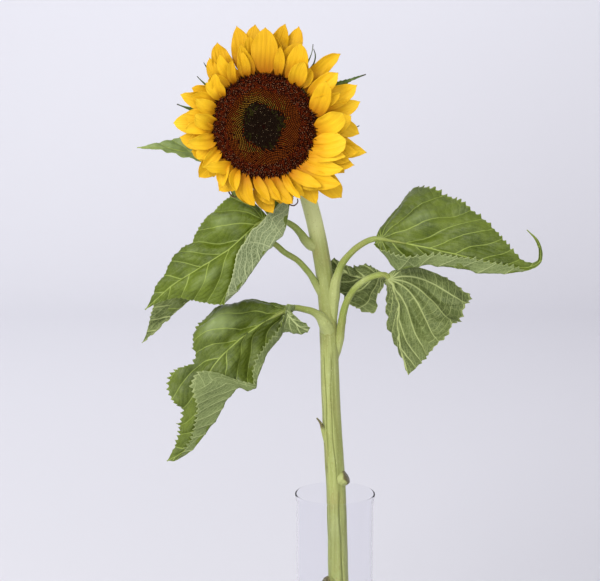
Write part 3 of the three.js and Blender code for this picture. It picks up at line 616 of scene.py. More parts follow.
class Finish:
    """One material. Each method adds a node and returns the socket it gives."""

    def __init__(self, name, **sockets):
        self.material = bpy.data.materials.new(name)
        self.material.use_nodes = True
        self.tree = self.material.node_tree
        self.shader = self.tree.nodes["Principled BSDF"]
        for key, value in sockets.items():
            self.shader.inputs[key.replace("_", " ")].default_value = value

    def add(self, kind, out=0, inputs=None, **settings):
        """A node with its inputs set or joined, and its settings."""
        node = self.tree.nodes.new(kind)
        for key, value in settings.items():
            setattr(node, key, value)
        for key, value in (inputs or {}).items():
            if isinstance(value, bpy.types.NodeSocket):
                self.tree.links.new(value, node.inputs[key])
            else:
                node.inputs[key].default_value = value
        return node.outputs[out]

    def value(self, name):
        """A number that the mesh carries at each vertex."""
        return self.add("ShaderNodeAttribute", "Fac", attribute_name=name)

    def vector(self, name, scale=(1, 1, 1)):
        """A vector that the mesh carries at each vertex, scaled."""
        found = self.add("ShaderNodeAttribute", "Vector", attribute_name=name)
        return self.add("ShaderNodeMapping", inputs={0: found, "Scale": scale})

    def parts(self, vector):
        """The three numbers of a vector."""
        node = self.tree.nodes.new("ShaderNodeSeparateXYZ")
        self.tree.links.new(vector, node.inputs[0])
        return tuple(node.outputs)

    def place(self, scale=(1, 1, 1)):
        """The object's own coordinates, in millimetres at scale 1."""
        found = self.add("ShaderNodeTexCoord", "Object")
        return self.add("ShaderNodeMapping", inputs={0: found, "Scale": [s / MM for s in scale]})

    def noise(self, vector, scale, detail, roughness):
        inputs = {"Vector": vector, "Scale": scale, "Detail": detail, "Roughness": roughness}
        return self.add("ShaderNodeTexNoise", 0, inputs)

    def spots(self, scale, detail=3, roughness=0.6):
        """Noise over the object's own coordinates."""
        return self.noise(self.place(scale), 1, detail, roughness)

    def cells(self, vector, scale):
        """The distance to the edge of the nearest cell of an uneven net."""
        inputs = {"Vector": vector, "Scale": scale}
        return self.add("ShaderNodeTexVoronoi", "Distance", inputs, feature="DISTANCE_TO_EDGE")

    def spread(self, value, low, high, to_low=0.0, to_high=1.0):
        """A value moved from one range to another, and held inside it."""
        inputs = {0: value, 1: low, 2: high, 3: to_low, 4: to_high}
        return self.add("ShaderNodeMapRange", 0, inputs, clamp=True)

    def calc(self, a, b, operation="ADD"):
        return self.add("ShaderNodeMath", 0, {0: a, 1: b}, operation=operation)

    def times(self, a, b):
        return self.calc(a, b, "MULTIPLY")

    def larger(self, a, b):
        return self.calc(a, b, "MAXIMUM")

    def mix(self, share, a, b):
        """Colour a where the share is 0, and b where it is 1. Each is a socket or a hex code."""
        a, b = (colour(c) if isinstance(c, str) else c for c in (a, b))
        return self.add("ShaderNodeMix", 2, {0: share, 6: a, 7: b}, data_type="RGBA")

    def tint(self, tone, code, mask, low, high, to_low=0.0, to_high=1.0):
        """A tone that takes on another colour as a mask runs from low to high."""
        return self.mix(self.spread(mask, low, high, to_low, to_high), tone, code)

    def plug(self, **sockets):
        """Joins sockets to the shader's inputs."""
        for key, value in sockets.items():
            self.tree.links.new(value, self.shader.inputs[key.replace("_", " ")])
        return self

    def bump(self, height, distance, strength=1.0):
        """Small relief from a height, over a distance in mm."""
        inputs = {"Height": height, "Distance": distance * MM, "Strength": strength}
        return self.plug(Normal=self.add("ShaderNodeBump", 0, inputs))


# A vein's soft edge: the share of its half width that fades, and the mm that it fades over.
VEIN_EDGE = {"inner": 0.45, "fade": 0.35}


def leaf_finish(name, deep, light, vein, net_strength, roughness, vein_width=1.0):
    """One side of a leaf: mottled green, with its veins drawn from the net and flat attributes.

    The tops of its larger swellings are painted paler, as a painted sheen."""
    f = Finish(name, Roughness=roughness, Specular_IOR_Level=0.3)
    flat = f.vector("flat")
    along, aside, _ = f.parts(flat)
    phase, spacing, rung = f.parts(f.vector("net"))
    margin = f.value("margin")

    def line(distance, half_width, strength):
        """The strength on a vein, fading to 0 beside it."""
        soft = f.times(half_width, VEIN_EDGE["inner"])
        solid = f.calc(half_width, soft, "SUBTRACT")
        beyond = f.calc(distance, solid, "SUBTRACT")
        return f.times(f.spread(beyond, 0.0, VEIN_EDGE["fade"], 1.0, 0.0), strength)

    body = f.tint(deep, light, f.noise(flat, 0.05, 4, 0.6), 0.36, 0.66)
    body = f.tint(body, light, f.noise(flat, 0.5, 4, 0.7), 0.3, 0.75, 0, 0.4)
    # Painted sheen: the tops of the larger swellings are painted paler.
    body = f.tint(body, "#93a46c", f.value("swell_sheen"), 0.3, 1.0, 0, 0.55)
    midrib = line(f.calc(aside, 0.0, "ABSOLUTE"), f.spread(along, 0, 110, 0.62, 0.1), 0.95)
    branch = line(f.times(f.calc(phase, 0.5, "PINGPONG"), spacing),
                  f.spread(margin, 0, 1, 0.26 * vein_width, 0.02 * vein_width), 0.8)
    ladder = line(f.times(f.calc(rung, 0.5, "PINGPONG"), LADDER_SPACING), 0.08, net_strength * 1.6)
    net = f.spread(f.cells(flat, 0.42), 0.0, 0.14, net_strength * 0.8, 0.0)
    fine = f.spread(f.cells(flat, 1.2), 0.0, 0.12, net_strength * 0.45, 0.0)
    large = f.larger(midrib, branch)
    small = f.larger(ladder, f.larger(net, fine))
    veins = f.larger(large, small)
    body = f.mix(veins, body, vein)
    body = f.tint(body, vein, margin, 0.965, 1.0, 0, 0.6)
    f.plug(Base_Color=body)
    f.bump(f.calc(f.times(veins, -0.8), f.noise(flat, 2.2, 3, 0.6)), 0.35, 0.5)
    return f.material


def petal_finish(name, base, body, tip, shadow):
    """A ray petal: golden, deeper at its root, partly its own deeper orange and partly painted shade where
    the petals crowd at the disc, with fine lengthwise streaks in a painted shadow colour.
    """
    f = Finish(name, Roughness=0.55, Specular_IOR_Level=0.14)
    along = f.value("along")
    streaks = f.noise(f.vector("flat", (0.05, 0.9, 1)), 1.0, 4, 0.6)
    # The root colour: partly the petal's own deeper orange and partly painted shade where the petals crowd
    # at the disc.
    tone = f.tint(base, body, along, 0.12, 0.58)
    tone = f.tint(tone, tip, along, 0.6, 1.0)
    tone = f.tint(tone, shadow, streaks, 0.42, 0.74, 0, 0.6)
    tone = f.tint(tone, "#8f7a22", along, 0.965, 1.0, 0, 0.5)
    f.plug(Base_Color=tone)
    f.bump(streaks, 0.3, 0.5)
    return f.material


def bract_finish(name, deep, light, streak, tip, tip_from=0.9):
    """A bract or the cup behind the petals: dark green with paler streaks and another colour at
    the end, which is a bract's dry tip or the part of the cup next to the neck."""
    f = Finish(name, Roughness=0.6, Specular_IOR_Level=0.2)
    along = f.value("along")
    fibres = f.noise(f.vector("flat", (0.06, 0.8, 1)), 1.0, 4, 0.6)
    tone = f.tint(deep, light, fibres, 0.35, 0.65)
    tone = f.tint(tone, streak, f.spots((0.5, 0.5, 0.5)), 0.5, 0.75, 0, 0.5)
    tone = f.tint(tone, tip, along, tip_from, 1.0, 0, 0.8)
    f.plug(Base_Color=tone)
    f.bump(fibres, 0.3, 0.6)
    return f.material


def stem_finish(name, pale, deep, shade_and_stain, streak_scale):
    """The stem or a stalk: pale green fibres, browner in patches, darker down in the grooves and the stalks'
    channels with painted shade and at the scars with stains, and paler at the neck, partly its own colour
    and partly painted light.
    """
    f = Finish(name, Roughness=0.5, Specular_IOR_Level=0.3, Sheen_Weight=0.15, Sheen_Roughness=0.4)
    fibres = f.noise(f.vector("flat", (0.02, streak_scale, 1)), 1.0, 4, 0.65)
    tone = f.tint(pale, deep, fibres, 0.38, 0.7, 0, 0.8)
    patches = f.spots((0.06, 0.06, 0.03), 4)
    tone = f.tint(tone, "#958a52", patches, 0.5, 0.7, 0, 0.5)
    tone = f.tint(tone, "#b5bd84", patches, 0.25, 0.48, 0.5, 0)
    # The neck is painted paler: partly its own paler colour and partly painted light against the head's
    # shadow.
    marks = [("foot", 0.85, "#a5ac6c"), ("neck", 0.85, "#d2d796"), ("shade_and_stain", 0.9, shade_and_stain)]
    # The darkening mark is painted shade in the stem's grooves and the stalks' channels, and stains at the
    # stem's scars.
    for where, strength, code in marks:
        tone = f.mix(f.times(f.value(where), strength), tone, code)
    grain = f.spread(f.spots((1.1, 1.1, 1.1)), 0.3, 0.7, 0.6, 1.0)
    tone = f.mix(f.times(f.value("cut"), grain), tone, "#4a3214")
    tone = f.tint(tone, "#857c3e", f.spots((0.8, 0.8, 0.6), 2, 0.5), 0.66, 0.72, 0, 0.65)
    down = f.spots((1.6, 1.6, 0.5), 2, 0.5)
    tone = f.tint(tone, "#d0d6a0", down, 0.62, 0.74, 0, 0.4)
    tone = f.tint(tone, "#6f6a34", down, 0.22, 0.34, 0.35, 0)
    f.plug(Base_Color=tone)
    f.bump(f.calc(fibres, f.spots((0.7, 0.7, 0.7))), 0.4, 0.5)
    return f.material


def plain_finish(name, dark, light, scale, roughness, bump=0.2):
    """A mottled plain colour for small things."""
    f = Finish(name, Roughness=roughness, Specular_IOR_Level=0.06)
    spots = f.spots((scale, scale, scale))
    f.plug(Base_Color=f.tint(dark, light, spots, 0.3, 0.7))
    return f.bump(spots, bump).material


def glass_finish():
    """Clear glass with a low IOR, so that its walls stay as pale as they are in daylight."""
    f = Finish("vase_glass", Roughness=0.0, IOR=1.1, Transmission_Weight=1.0)
    f.shader.inputs["Base Color"].default_value = colour("#fbfbfd")
    return f.material


# Upper sides: deep and light green, veins, strength of the small net, and roughness. Under
# sides: the same, and how much wider their veins are.
UPPER_SIDES = {
    "bright": ("#3d4c0b", "#5d6e11", "#94a44c", 0.14, 0.42),
    "deep": ("#394810", "#5e6d1e", "#94a44c", 0.14, 0.42),
    "dull": ("#43501d", "#5f6c32", "#94a44c", 0.14, 0.42),
    "pale": ("#66783c", "#84945a", "#94a44c", 0.14, 0.42),
}
UNDER_SIDES = {
    "bright": ("#4d5b30", "#76835a", "#b4bd8c", 0.6, 0.6, 1.0),
    "deep": ("#4b592a", "#6b7944", "#aab47a", 0.3, 0.6, 1.4),
    "dull": ("#3b481c", "#5d6a36", "#a5af70", 0.36, 0.6, 1.8),
    "pale": ("#66783c", "#84945a", "#a3b06a", 0.3, 0.6, 1.0),
}
# Petals from the deepest to the palest: root, body, tip and the streaks' shadow. A root is partly the
# petal's own deeper orange and partly painted shade where the petals crowd at the disc.
PETAL_GOLDS = {
    "honey": ("#a86006", "#cf9e10", "#d8a818", "#b88408"),
    "amber": ("#b46c08", "#daaa14", "#e2b41e", "#c69210"),
    "golden": ("#be7808", "#e5b61c", "#eac02a", "#d29e10"),
    "lemon": ("#c8850e", "#f5cb2e", "#f7d442", "#e4b01c"),
}
upper_side = {tone: leaf_finish(f"leaf_upper_{tone}", *look) for tone, look in UPPER_SIDES.items()}
under_side = {tone: leaf_finish(f"leaf_under_{tone}", *look) for tone, look in UNDER_SIDES.items()}
petal_gold = {tone: petal_finish(f"petal_{tone}", *look) for tone, look in PETAL_GOLDS.items()}
stem_green = stem_finish("stem_green", "#a2a965", "#868f48", "#6c7233", 0.9)
stalk_green = stem_finish("stalk_green", "#8d9a48", "#717f38", "#5f6f2c", 1.1)
bract_green = bract_finish("bract_green", "#33441a", "#566a30", "#7d8a55", "#2b1a0c")
cup_green = bract_finish("cup_green", "#33441a", "#566a30", "#7d8a55", "#c4ca8c", 0.2)
bract_brown = bract_finish("bract_brown", "#2c180e", "#5d3a26", "#7d5a42", "#2c180e")
glass = glass_finish()
hair_pale = plain_finish("hair_pale", "#b4b98a", "#d0d3b0", 0.5, 0.7)
FLORET_COLOURS = {
    "bud_black": ("#120b06", "#2a1c10"),
    "bud_grey": ("#8a7658", "#cbb28a"),
    "bud_green": ("#1f1e09", "#3c3812"),
    "bud_gold": ("#7a5414", "#b2822c"),
    "bud_olive": ("#544c12", "#82722c"),
    "bud_rust": ("#78330c", "#ac5a16"),
    "floret_dark": ("#140502", "#300e06"),
    "floret_maroon": ("#481306", "#7e2c0d"),
    "floret_rust": ("#6a2a0c", "#94460f"),
    "floret_tan": ("#a8704c", "#dca67e"),
}
floret = {name: plain_finish(name, dark, light, 1.5, 0.9) for name, (dark, light) in FLORET_COLOURS.items()}


# ---- Leaves ----


def waves(x, y, length, seed, count=5):
    """Uneven waves over a plane, about one length apart and between -1 and 1."""
    rng = np.random.default_rng(seed)
    total = 0
    for _ in range(count):
        heading, phase, stretch = rng.uniform(0, TURN), rng.uniform(0, TURN), rng.uniform(0.7, 1.5)
        ahead = x * math.cos(heading) + y * math.sin(heading)
        total = total + np.sin(TURN / (length * stretch) * ahead + phase)
    return total / math.sqrt(count * 2)


def teeth(margin, width, spacing, depth, bare, seed):
    """How far the toothed edge stands out at each row, with each tooth's point towards the tip."""
    arc = np.concatenate([[0], np.cumsum(np.linalg.norm(np.diff(margin, axis=0), axis=1))])
    phase = arc / spacing + 0.35 * waves(arc, 0, 31, seed)
    tooth_number = np.floor(phase).astype(int)
    part = phase - tooth_number
    sizes = np.random.default_rng(seed).uniform(0.55, 1.25, tooth_number.max() - tooth_number.min() + 1)
    rising = (part / TOOTH["point"]) ** TOOTH["bow"]
    saw = np.where(part < TOOTH["point"], rising, (1 - part) / TOOTH["back"])
    fade = smooth((arc - bare) / TOOTH["fade"]) * smooth((arc[-1] - arc) / TOOTH["fade"])
    fade = fade * smooth(width / TOOTH["full_width"])
    return depth * saw * sizes[tooth_number - tooth_number.min()] * fade


def leaf_half(spec, hand, rib, rows, columns, seed):
    """Points from the rib (first column) out to one edge, with their places on the flat leaf."""
    half = spec[hand]
    sign = 1 if hand == "left" else -1
    out = np.linspace(0, 1, columns)
    width = np.maximum(through(half["width"], rows), NARROWEST)
    swept = np.where(rows < LOBE_REACH, np.sin(math.pi * rows / LOBE_REACH) ** 2, 0) * half["lobe"]
    station = rows[:, None] * rib.length - out[None, :] * swept[:, None]
    share = np.clip(station / rib.length, 0, 1)
    tangent = rib.tangent(share)
    centre = rib.point(share) + tangent * (station - share * rib.length)[..., None]
    face = through(spec["face"], share)
    up = unit(face - (face * tangent).sum(-1, keepdims=True) * tangent)
    side = np.cross(up, tangent) * sign

    middle = (out[1:] + out[:-1]) / 2
    past_fold = np.zeros((len(rows), columns))
    angle = through(half["wing"], rows)[:, None] + through(half["curl"], rows)[:, None] * middle
    if "fold" in half:
        start = through(half["fold"], rows)[:, None]
        bend = np.maximum(through(half["roll"], rows), 0)[:, None]
        angle = angle + bend * smooth((middle - start) / FOLD_SOFTNESS)
        past_fold = smooth((out - start) / FOLD_SOFTNESS) * smooth(bend / 90)
    angle = np.radians(angle)

    def laid(reach):
        """Points at the given distances along the bent rows."""
        steps = np.diff(reach, axis=1)
        flat_part = np.cumsum(np.pad(steps * np.cos(angle), ((0, 0), (1, 0))), axis=1)
        high_part = np.cumsum(np.pad(steps * np.sin(angle), ((0, 0), (1, 0))), axis=1)
        return centre + side * flat_part[..., None] + up * high_part[..., None]

    reach = width[:, None] * out
    bare = spec["bare"][("left", "right").index(hand)]
    edge = teeth(laid(reach)[:, -1], width, *spec["teeth"], bare, seed)
    reach = reach + edge[:, None] * smooth((out - 1 + TOOTH_REACH) / TOOTH_REACH)
    return laid(reach), station, reach * sign, np.broadcast_to(out, reach.shape), past_fold


def vein_net(along, aside, offset, branch_spacing, branch_run, fan_degrees):
    """The side veins' phase (whole at each vein), the mm to one phase, and the ladder's phase."""
    distance = np.abs(aside)
    fan_step = math.radians(fan_degrees)
    first = along - BRANCH_START
    run = branch_run * distance + BRANCH_BEND * distance**2
    slant = np.arctan2(distance, run)
    beyond = np.arctan2(distance, first) - slant
    radius = np.hypot(first, distance)
    in_fan = first < run
    phase = np.where(in_fan, -beyond / fan_step, (first - run) / branch_spacing) - offset
    phase = phase + 0.16 * waves(along, aside, 45, 11) * smooth(distance / 10)
    spacing = np.where(in_fan, np.maximum(radius, 2) * fan_step, branch_spacing * np.sin(slant))
    ladder = np.where(in_fan, radius, distance / np.maximum(np.sin(slant), 0.3)) / LADDER_SPACING
    return phase, spacing, ladder + 0.35 * waves(along, aside, 16, 5)


def leaf_swell(swellings, along, aside):
    """The height of a blade's larger swellings and hollows."""
    height = np.zeros_like(along)
    for at, off, length, width, heading, rise in swellings:
        a = math.radians(heading)
        ahead = (along - at) * math.cos(a) + (aside - off) * math.sin(a)
        across = (aside - off) * math.cos(a) - (along - at) * math.sin(a)
        height = height + rise * np.exp(-(ahead / length) ** 2 - (across / width) ** 2)
    return height


def make_leaf(name, spec, seed):
    """One blade: two halves joined along the rib, with veins, swellings and a ruffled edge."""
    rib = Curve(spec["rib"])
    rows = np.linspace(0, 1, int(rib.length / CELL_ALONG))
    halves = []
    for k, hand in enumerate(("right", "left")):
        columns = max(int(max(spec[hand]["width"]) / CELL_ACROSS), 8)
        halves.append(leaf_half(spec, hand, rib, rows, columns, seed + k))
    points, along, aside, margin, past_fold = (
        np.concatenate([right[:, :0:-1], left], axis=1) for right, left in zip(*halves))
    nets = zip(vein_net(along, aside, RIGHT_LAG, *spec["veins"]), vein_net(along, aside, 0, *spec["veins"]))
    phase, spacing, ladder = (np.where(aside < 0, on_right, on_left) for on_right, on_left in nets)

    from_branch = np.abs(phase - np.round(phase)) * spacing
    from_rib = np.abs(aside)
    from_vein = np.minimum(from_branch, from_rib)
    from_ladder = np.abs(ladder - np.round(ladder)) * LADDER_SPACING
    blister = BLISTER["height"] * smooth(from_vein / BLISTER["from_vein"])
    between_rungs = BLISTER["rung_height"] * smooth(from_ladder / BLISTER["from_rung"])
    blister = blister + between_rungs * smooth(from_vein / BLISTER["from_rung"])
    reach = np.hypot(along, aside)
    gutter = spec["gutter"] * smooth(from_branch / GUTTER["from_branch"]) * smooth(reach / GUTTER["starts"])
    gutter = gutter * (1 - smooth((reach - GUTTER["fades"]) / GUTTER["gone"]))
    wavy = waves(along, RUFFLE["round_the_margin"] * np.sign(aside), RUFFLE["length"], seed)
    ruffle = spec["ruffle"] * margin**2 * wavy * smooth(rows / 0.1)[:, None]
    ruffle = ruffle * smooth(from_rib / RUFFLE["from_rib"])
    swellings = leaf_swell(spec["swell"], along, aside)
    rolling = SWELL_WAVES["height"] * waves(along, aside, SWELL_WAVES["length"], seed + 9)
    swell = swellings + rolling * smooth(from_rib / SWELL_WAVES["from_rib"])
    pucker = PUCKER["height"] * waves(along, aside, PUCKER["length"], seed + 4, PUCKER["count"])
    end_fade = smooth(rows / 0.06)[:, None] * smooth((1 - rows) / 0.05)[:, None]
    relief = (blister + gutter + ruffle + swell + pucker) * end_fade * (1 - FLAT_PAST_FOLD * past_fold)
    points = points + grid_normals(points) * relief[..., None]

    rib_height = VEIN_RIDGES["rib"] - VEIN_RIDGES["rib_taper"] * rows[:, None]
    ridge = np.exp(-(from_rib / VEIN_RIDGES["rib_width"]) ** 2) * rib_height
    branch_ridge = VEIN_RIDGES["branch"] * np.exp(-(from_branch / VEIN_RIDGES["branch_width"]) ** 2)
    ridge = ridge + branch_ridge * (1 - 0.7 * margin)
    above = np.full(along.shape, SHEET)
    below = SHEET + ridge * end_fade
    vertices, faces, sides = thin_solid(points, above, below)
    along, aside, *net = doubled(along, aside, phase, spacing, ladder)
    # How much painted sheen each vertex takes from the height of its swelling.
    margin, swell_sheen = doubled(margin, swellings / SHEEN_FULL_SWELL)
    vectors = pattern_place(along, aside, seed * PATTERN_STEP["leaf"])
    vectors["net"] = np.stack(net, -1)
    finishes = [upper_side[spec["tone"]], under_side[spec["tone"]]]
    piece = new_piece(f"leaf_{name}_blade", vertices, [faces], finishes, sides,
                      {"margin": margin, "swell_sheen": swell_sheen}, vectors)
    if spec["replaces"]:
        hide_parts(*spec["replaces"])


for number, (leaf_name, leaf_spec) in enumerate(LEAVES.items()):
    make_leaf(leaf_name, leaf_spec, 10 * number + 3)

# ---- Vase ----

# The glass wall and floor, the roundings of the foot outside and inside, how far the lip flares
# out and over what height, and the faint hollow under the foot.
VASE = {"wall": 1.2, "floor": 9, "rounding": 1.5, "inner_rounding": 6, "flare_out": 1.2,
        "flare_height": 7, "hollow": 0.35, "sides": 256}
FOOT_RING = (0.7, 0.82)  # shares of the radius between which the hollow comes down to the ground


def make_vase():
    """The glass: one profile from under the foot up the outside, over the lip and down inside."""
    low, high = (np.array(corner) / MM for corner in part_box("vase"))
    height, lip = high[2], (high[0] - low[0]) / 2
    wall, floor, flare = VASE["wall"], VASE["floor"], VASE["flare_height"]
    rounding, inner_rounding = VASE["rounding"], VASE["inner_rounding"]
    radius = lip - VASE["flare_out"]
    inner = radius - wall
    edge = wall / 2
    quarter = np.radians(np.linspace(0, 90, 7))
    half_turn = np.radians(np.linspace(0, 180, 13))[1:-1]
    up = np.linspace(0, 1, 8)

    def flared(face, shares):
        """The stretch of one face of the wall that flares out below the lip."""
        return [(face + (lip - radius) * smooth(t), height - flare + (flare - edge) * t) for t in shares]

    def arc(x, z, size, angles):
        return [(x + size * math.cos(a), z + size * math.sin(a)) for a in angles]

    foot = [(radius - rounding + rounding * math.sin(a), rounding - rounding * math.cos(a))
            for a in quarter]
    profile = [(0, VASE["hollow"]), (radius * FOOT_RING[0], VASE["hollow"]), (radius * FOOT_RING[1], 0)]
    profile += foot + flared(radius, up) + arc(lip - edge, height - edge, edge, half_turn)
    profile += flared(inner, up[::-1])
    profile += arc(inner - inner_rounding, floor + inner_rounding, inner_rounding, -quarter)
    profile += [(0, floor)]
    vertices, faces = lathe(profile, VASE["sides"])
    piece = new_piece("vase_glass", vertices, faces, [glass])
    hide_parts("vase")


make_vase()

# ---- Stem, neck, stubs, bud and stalks ----

STEM_SIDES, STEM_RINGS = 96, 520
STEM_PATTERN_RADIUS = 7  # the radius that the stem's patterns are laid round
# Lengthwise grooves in the stem, and ridges where the depth is below zero: angle round it (-90
# faces the viewer), half width, depth, the shares of the stem's length where each one starts
# and ends, and how dark it is painted, as painted shade in the groove.
GROOVES = [
    (-128, 3.4, 0.6, 0.42, 0.605, 1.2), (-86, 3.2, 0.55, 0.38, 0.605, 1.2), (-69, 12, 0.1, 0.3, 0.61, 0.6),
    (-105, 9, -0.1, 0.4, 0.6, 0), (-69, 3.4, 0.8, 0.1, 0.402, 1.2), (-48, 7, -0.2, 0.1, 0.4, 0),
    (-140, 6, 0.15, 0.05, 0.4, 0.4), (-104, 7, 0.1, 0.05, 0.38, 0.3), (30, 9, 0.5, 0.2, 0.62, 0.8),
    (85, 8, 0.4, 0.25, 0.8, 0.8), (140, 8, 0.5, 0.1, 0.6, 0.8), (200, 7, 0.3, 0.3, 0.6, 0.8),
]
# Scars and stains: share of the stem's length, angle, half length in mm, half width, strength.
SCARS = [
    (0.425, -146, 4, 7, 1.0), (0.435, -140, 9, 10, 0.35), (0.515, -78, 9, 8, 0.6), (0.47, -118, 5, 6, 0.4),
    (0.73, -100, 9, 28, 0.5), (0.7, -76, 26, 30, 0.4), (0.655, -95, 24, 60, 0.4), (0.405, -62, 2.5, 16, 0.9),
    (0.34, -75, 7, 5, 0.4), (0.27, -60, 5, 6, 0.35), (0.6, 60, 6, 8, 0.6), (0.35, 100, 5, 8, 0.6),
]
GROOVE_ENDS = (0.04, 0.02)  # shares of the stem's length over which a groove starts and ends
SCAR_DEPTH = 0.2  # at strength 1
BROWN_ABOVE = 0.5  # strength from which a scar turns brown as well as dark
CUT_FOOT = {"share": 0.02, "wider": 0.3}  # the cut end spreads a little over this share
NECK_FROM, NECK_FADE = 0.75, 0.05  # shares of the stem's length where the pale neck begins: partly its own paler colour and partly painted light against the head's shadow
stem_curve = Curve(STEM_LINE)


def away_from(angle, centre):
    """Degrees from a direction round a tube, between -180 and 180."""
    return wrapped(np.degrees(angle) - centre)


def groove_depth(share, angle):
    """How far the stem's surface is sunk in its grooves and scars, and how dark and how brown
    it is there: the darkness is painted shade in the grooves and stains at the scars."""
    sunk, shade, brown = 0, 0, 0
    for centre, half_width, depth, start, end, dark in GROOVES:
        wander = 5 * np.sin(share * 31 + centre) + 2 * np.sin(share * 83 + 2 * centre)
        here = np.exp(-(away_from(angle, centre + wander) / half_width) ** 2)
        here = here * smooth((share - start) / GROOVE_ENDS[0]) * smooth((end - share) / GROOVE_ENDS[1])
        sunk = sunk + depth * here
        shade = np.maximum(shade, here * dark)
    for at, centre, half_length, half_width, dark in SCARS:
        off = (share - at) * stem_curve.length / half_length
        here = np.exp(-off**2 - (away_from(angle, centre) / half_width) ** 2)
        sunk = sunk + SCAR_DEPTH * dark * here
        shade = np.maximum(shade, here * dark)
        brown = np.maximum(brown, here * max(dark - BROWN_ABOVE, 0))
    return sunk, shade, brown


def stem_radius(share, angle):
    """The stem's radius with its fine ribs, grooves and unevenness."""
    foot = 1 - smooth(share / CUT_FOOT["share"])
    sunk, _, _ = groove_depth(share, angle)
    ribs = 0.05 * np.sin(13 * angle + 2 * np.sin(5 * share)) + 0.03 * np.sin(29 * angle + 9 * share)
    swell = 0.15 * waves(share * stem_curve.length, np.degrees(angle) * 0.1, 22, 2)
    return through(STEM_RADII, share) + ribs + swell - sunk + foot * CUT_FOOT["wider"]


def flat_round(curve, along, angle, radius):
    """Surface coordinates of a tube: mm along it and mm round it."""
    return pattern_place(along * curve.length, np.degrees(angle) * TURN / 360 * radius, 0)


def make_stem():
    """The stem and the neck, as one tube."""
    vertices, faces, along, angle = tube(stem_curve, stem_radius, STEM_SIDES, STEM_RINGS)
    _, shade, brown = groove_depth(along, angle)
    piece = new_piece("stem_and_neck", vertices, faces, [stem_green], None,
                      {"shade_and_stain": shade, "cut": brown, "neck": smooth((along - NECK_FROM) / NECK_FADE)},
                      flat_round(stem_curve, along, angle, STEM_PATTERN_RADIUS))
    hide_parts("stem", "neck")


STALK = {"sides": 40, "cell": 0.6, "fewest_rings": 20, "foot_fade": 16, "cut_fade": 0.12}
BACK = 90  # heading of a tube's back
# The channel along a stalk's back: its share of the radius and how dark it is painted, as painted shade in
# the channel, and how wide each is.
CHANNEL = {"depth": 0.16, "spread": 900, "dark": 0.5, "dark_spread": 500}


def make_stalk(line, radii, piece_name, nodes, finish, foot, cut):
    """A leaf stalk, stub or bud: a tube with a shallow channel along its back.

    foot is how many mm keep the stem's colour, and cut the share from where it is brown."""
    curve = Curve(line)
    seed = int(curve.length * 10)

    def radius_at(share, angle):
        channel = CHANNEL["depth"] * np.exp(-away_from(angle, BACK) ** 2 / CHANNEL["spread"])
        ribs = 0.03 * np.sin(9 * angle + 3 * share)
        lumps = 0.04 * waves(share * curve.length, 3 * np.cos(angle) + 2 * np.sin(angle), 9, seed)
        return through(radii, share) * (1 - channel + ribs + lumps)

    rings = max(int(curve.length / STALK["cell"]), STALK["fewest_rings"])
    vertices, faces, along, angle = tube(curve, radius_at, STALK["sides"], rings)
    # Painted shade along the channel at the stalk's back.
    shade = CHANNEL["dark"] * np.exp(-away_from(angle, BACK) ** 2 / CHANNEL["dark_spread"])
    ragged = along + 0.05 * waves(angle * 3, along, 3, seed)
    values = {"shade_and_stain": shade, "foot": 1 - smooth((along * curve.length - foot) / STALK["foot_fade"]),
              "cut": smooth((ragged - cut) / STALK["cut_fade"])}
    piece = new_piece(piece_name, vertices, faces, [finish], None, values,
                      flat_round(curve, along, angle, max(radii)))
    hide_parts(*nodes)


HAIRS_PER_MM = {"stem": 9, "stalk": 4}
HAIRY = {"stem": (0.05, 0.86), "stalk": (0.25, 1)}  # shares of the length that carry hairs
HAIR = {"length": 0.8, "half_width": 0.045, "rooted": 0.15, "sizes": (0.5, 1.3), "stray": 0.5}


def even_radius(radii):
    """A tube's radius that changes only along its length."""
    return lambda share, angle: through(radii, share)


def make_hairs():
    """Short pale bristles all over the stem and the stalks."""
    rng = np.random.default_rng(5)
    feet, points = [], []
    lines = [("stem", stem_curve, stem_radius)]
    lines += [("stalk", Curve(stalk["line"]), even_radius(stalk["radii"])) for stalk in PETIOLES.values()]
    for kind, curve, radius_at in lines:
        count = int(curve.length * HAIRS_PER_MM[kind])
        share, angle = rng.uniform(*HAIRY[kind], count), rng.uniform(0, TURN, count)
        right, back = round_axes(curve.tangent(share))
        out = np.cos(angle)[:, None] * right + np.sin(angle)[:, None] * back
        feet.append(curve.point(share) + out * (radius_at(share, angle) - HAIR["rooted"])[:, None])
        points.append(unit(out + HAIR["stray"] * rng.normal(0, 1, (count, 3))))
    feet, points = np.concatenate(feet), np.concatenate(points)
    side = unit(np.cross(points, unit(rng.normal(0, 1, points.shape))))
    frames = np.stack([side, np.cross(points, side), points], -1)
    turn = np.arange(3) * TURN / 3
    ring = polar(HAIR["half_width"], turn, 0)
    spike = np.array([(0, 1, 3), (1, 2, 3), (2, 0, 3), (0, 2, 1)])
    shape = (np.concatenate([ring, [[0, 0, HAIR["length"]]]]), spike)
    vertices, faces = scatter(shape, feet, frames, rng.uniform(*HAIR["sizes"], len(feet)))
    piece = new_piece("stem_hairs", vertices, [faces], [hair_pale])


make_stem()
for stalk_name, stalk in PETIOLES.items():
    rib_start = Curve(LEAVES[stalk_name]["rib"])
    run_on = [tuple(rib_start.point(reach / rib_start.length)) for reach in STALK_RUN_ON]
    make_stalk(stalk["line"] + run_on, stalk["radii"] + STALK_END_RADII, f"stalk_{stalk_name}",
               [f"petiole_{stalk_name}"], stalk_green, stalk["foot"], NEVER_CUT)
for stub_name, stub in STUBS.items():
    make_stalk(stub["line"], stub["radii"], f"{stub_name}_cut", [stub_name], stem_green, 0, stub["cut"])
make_hairs()

# ---- Flower head ----

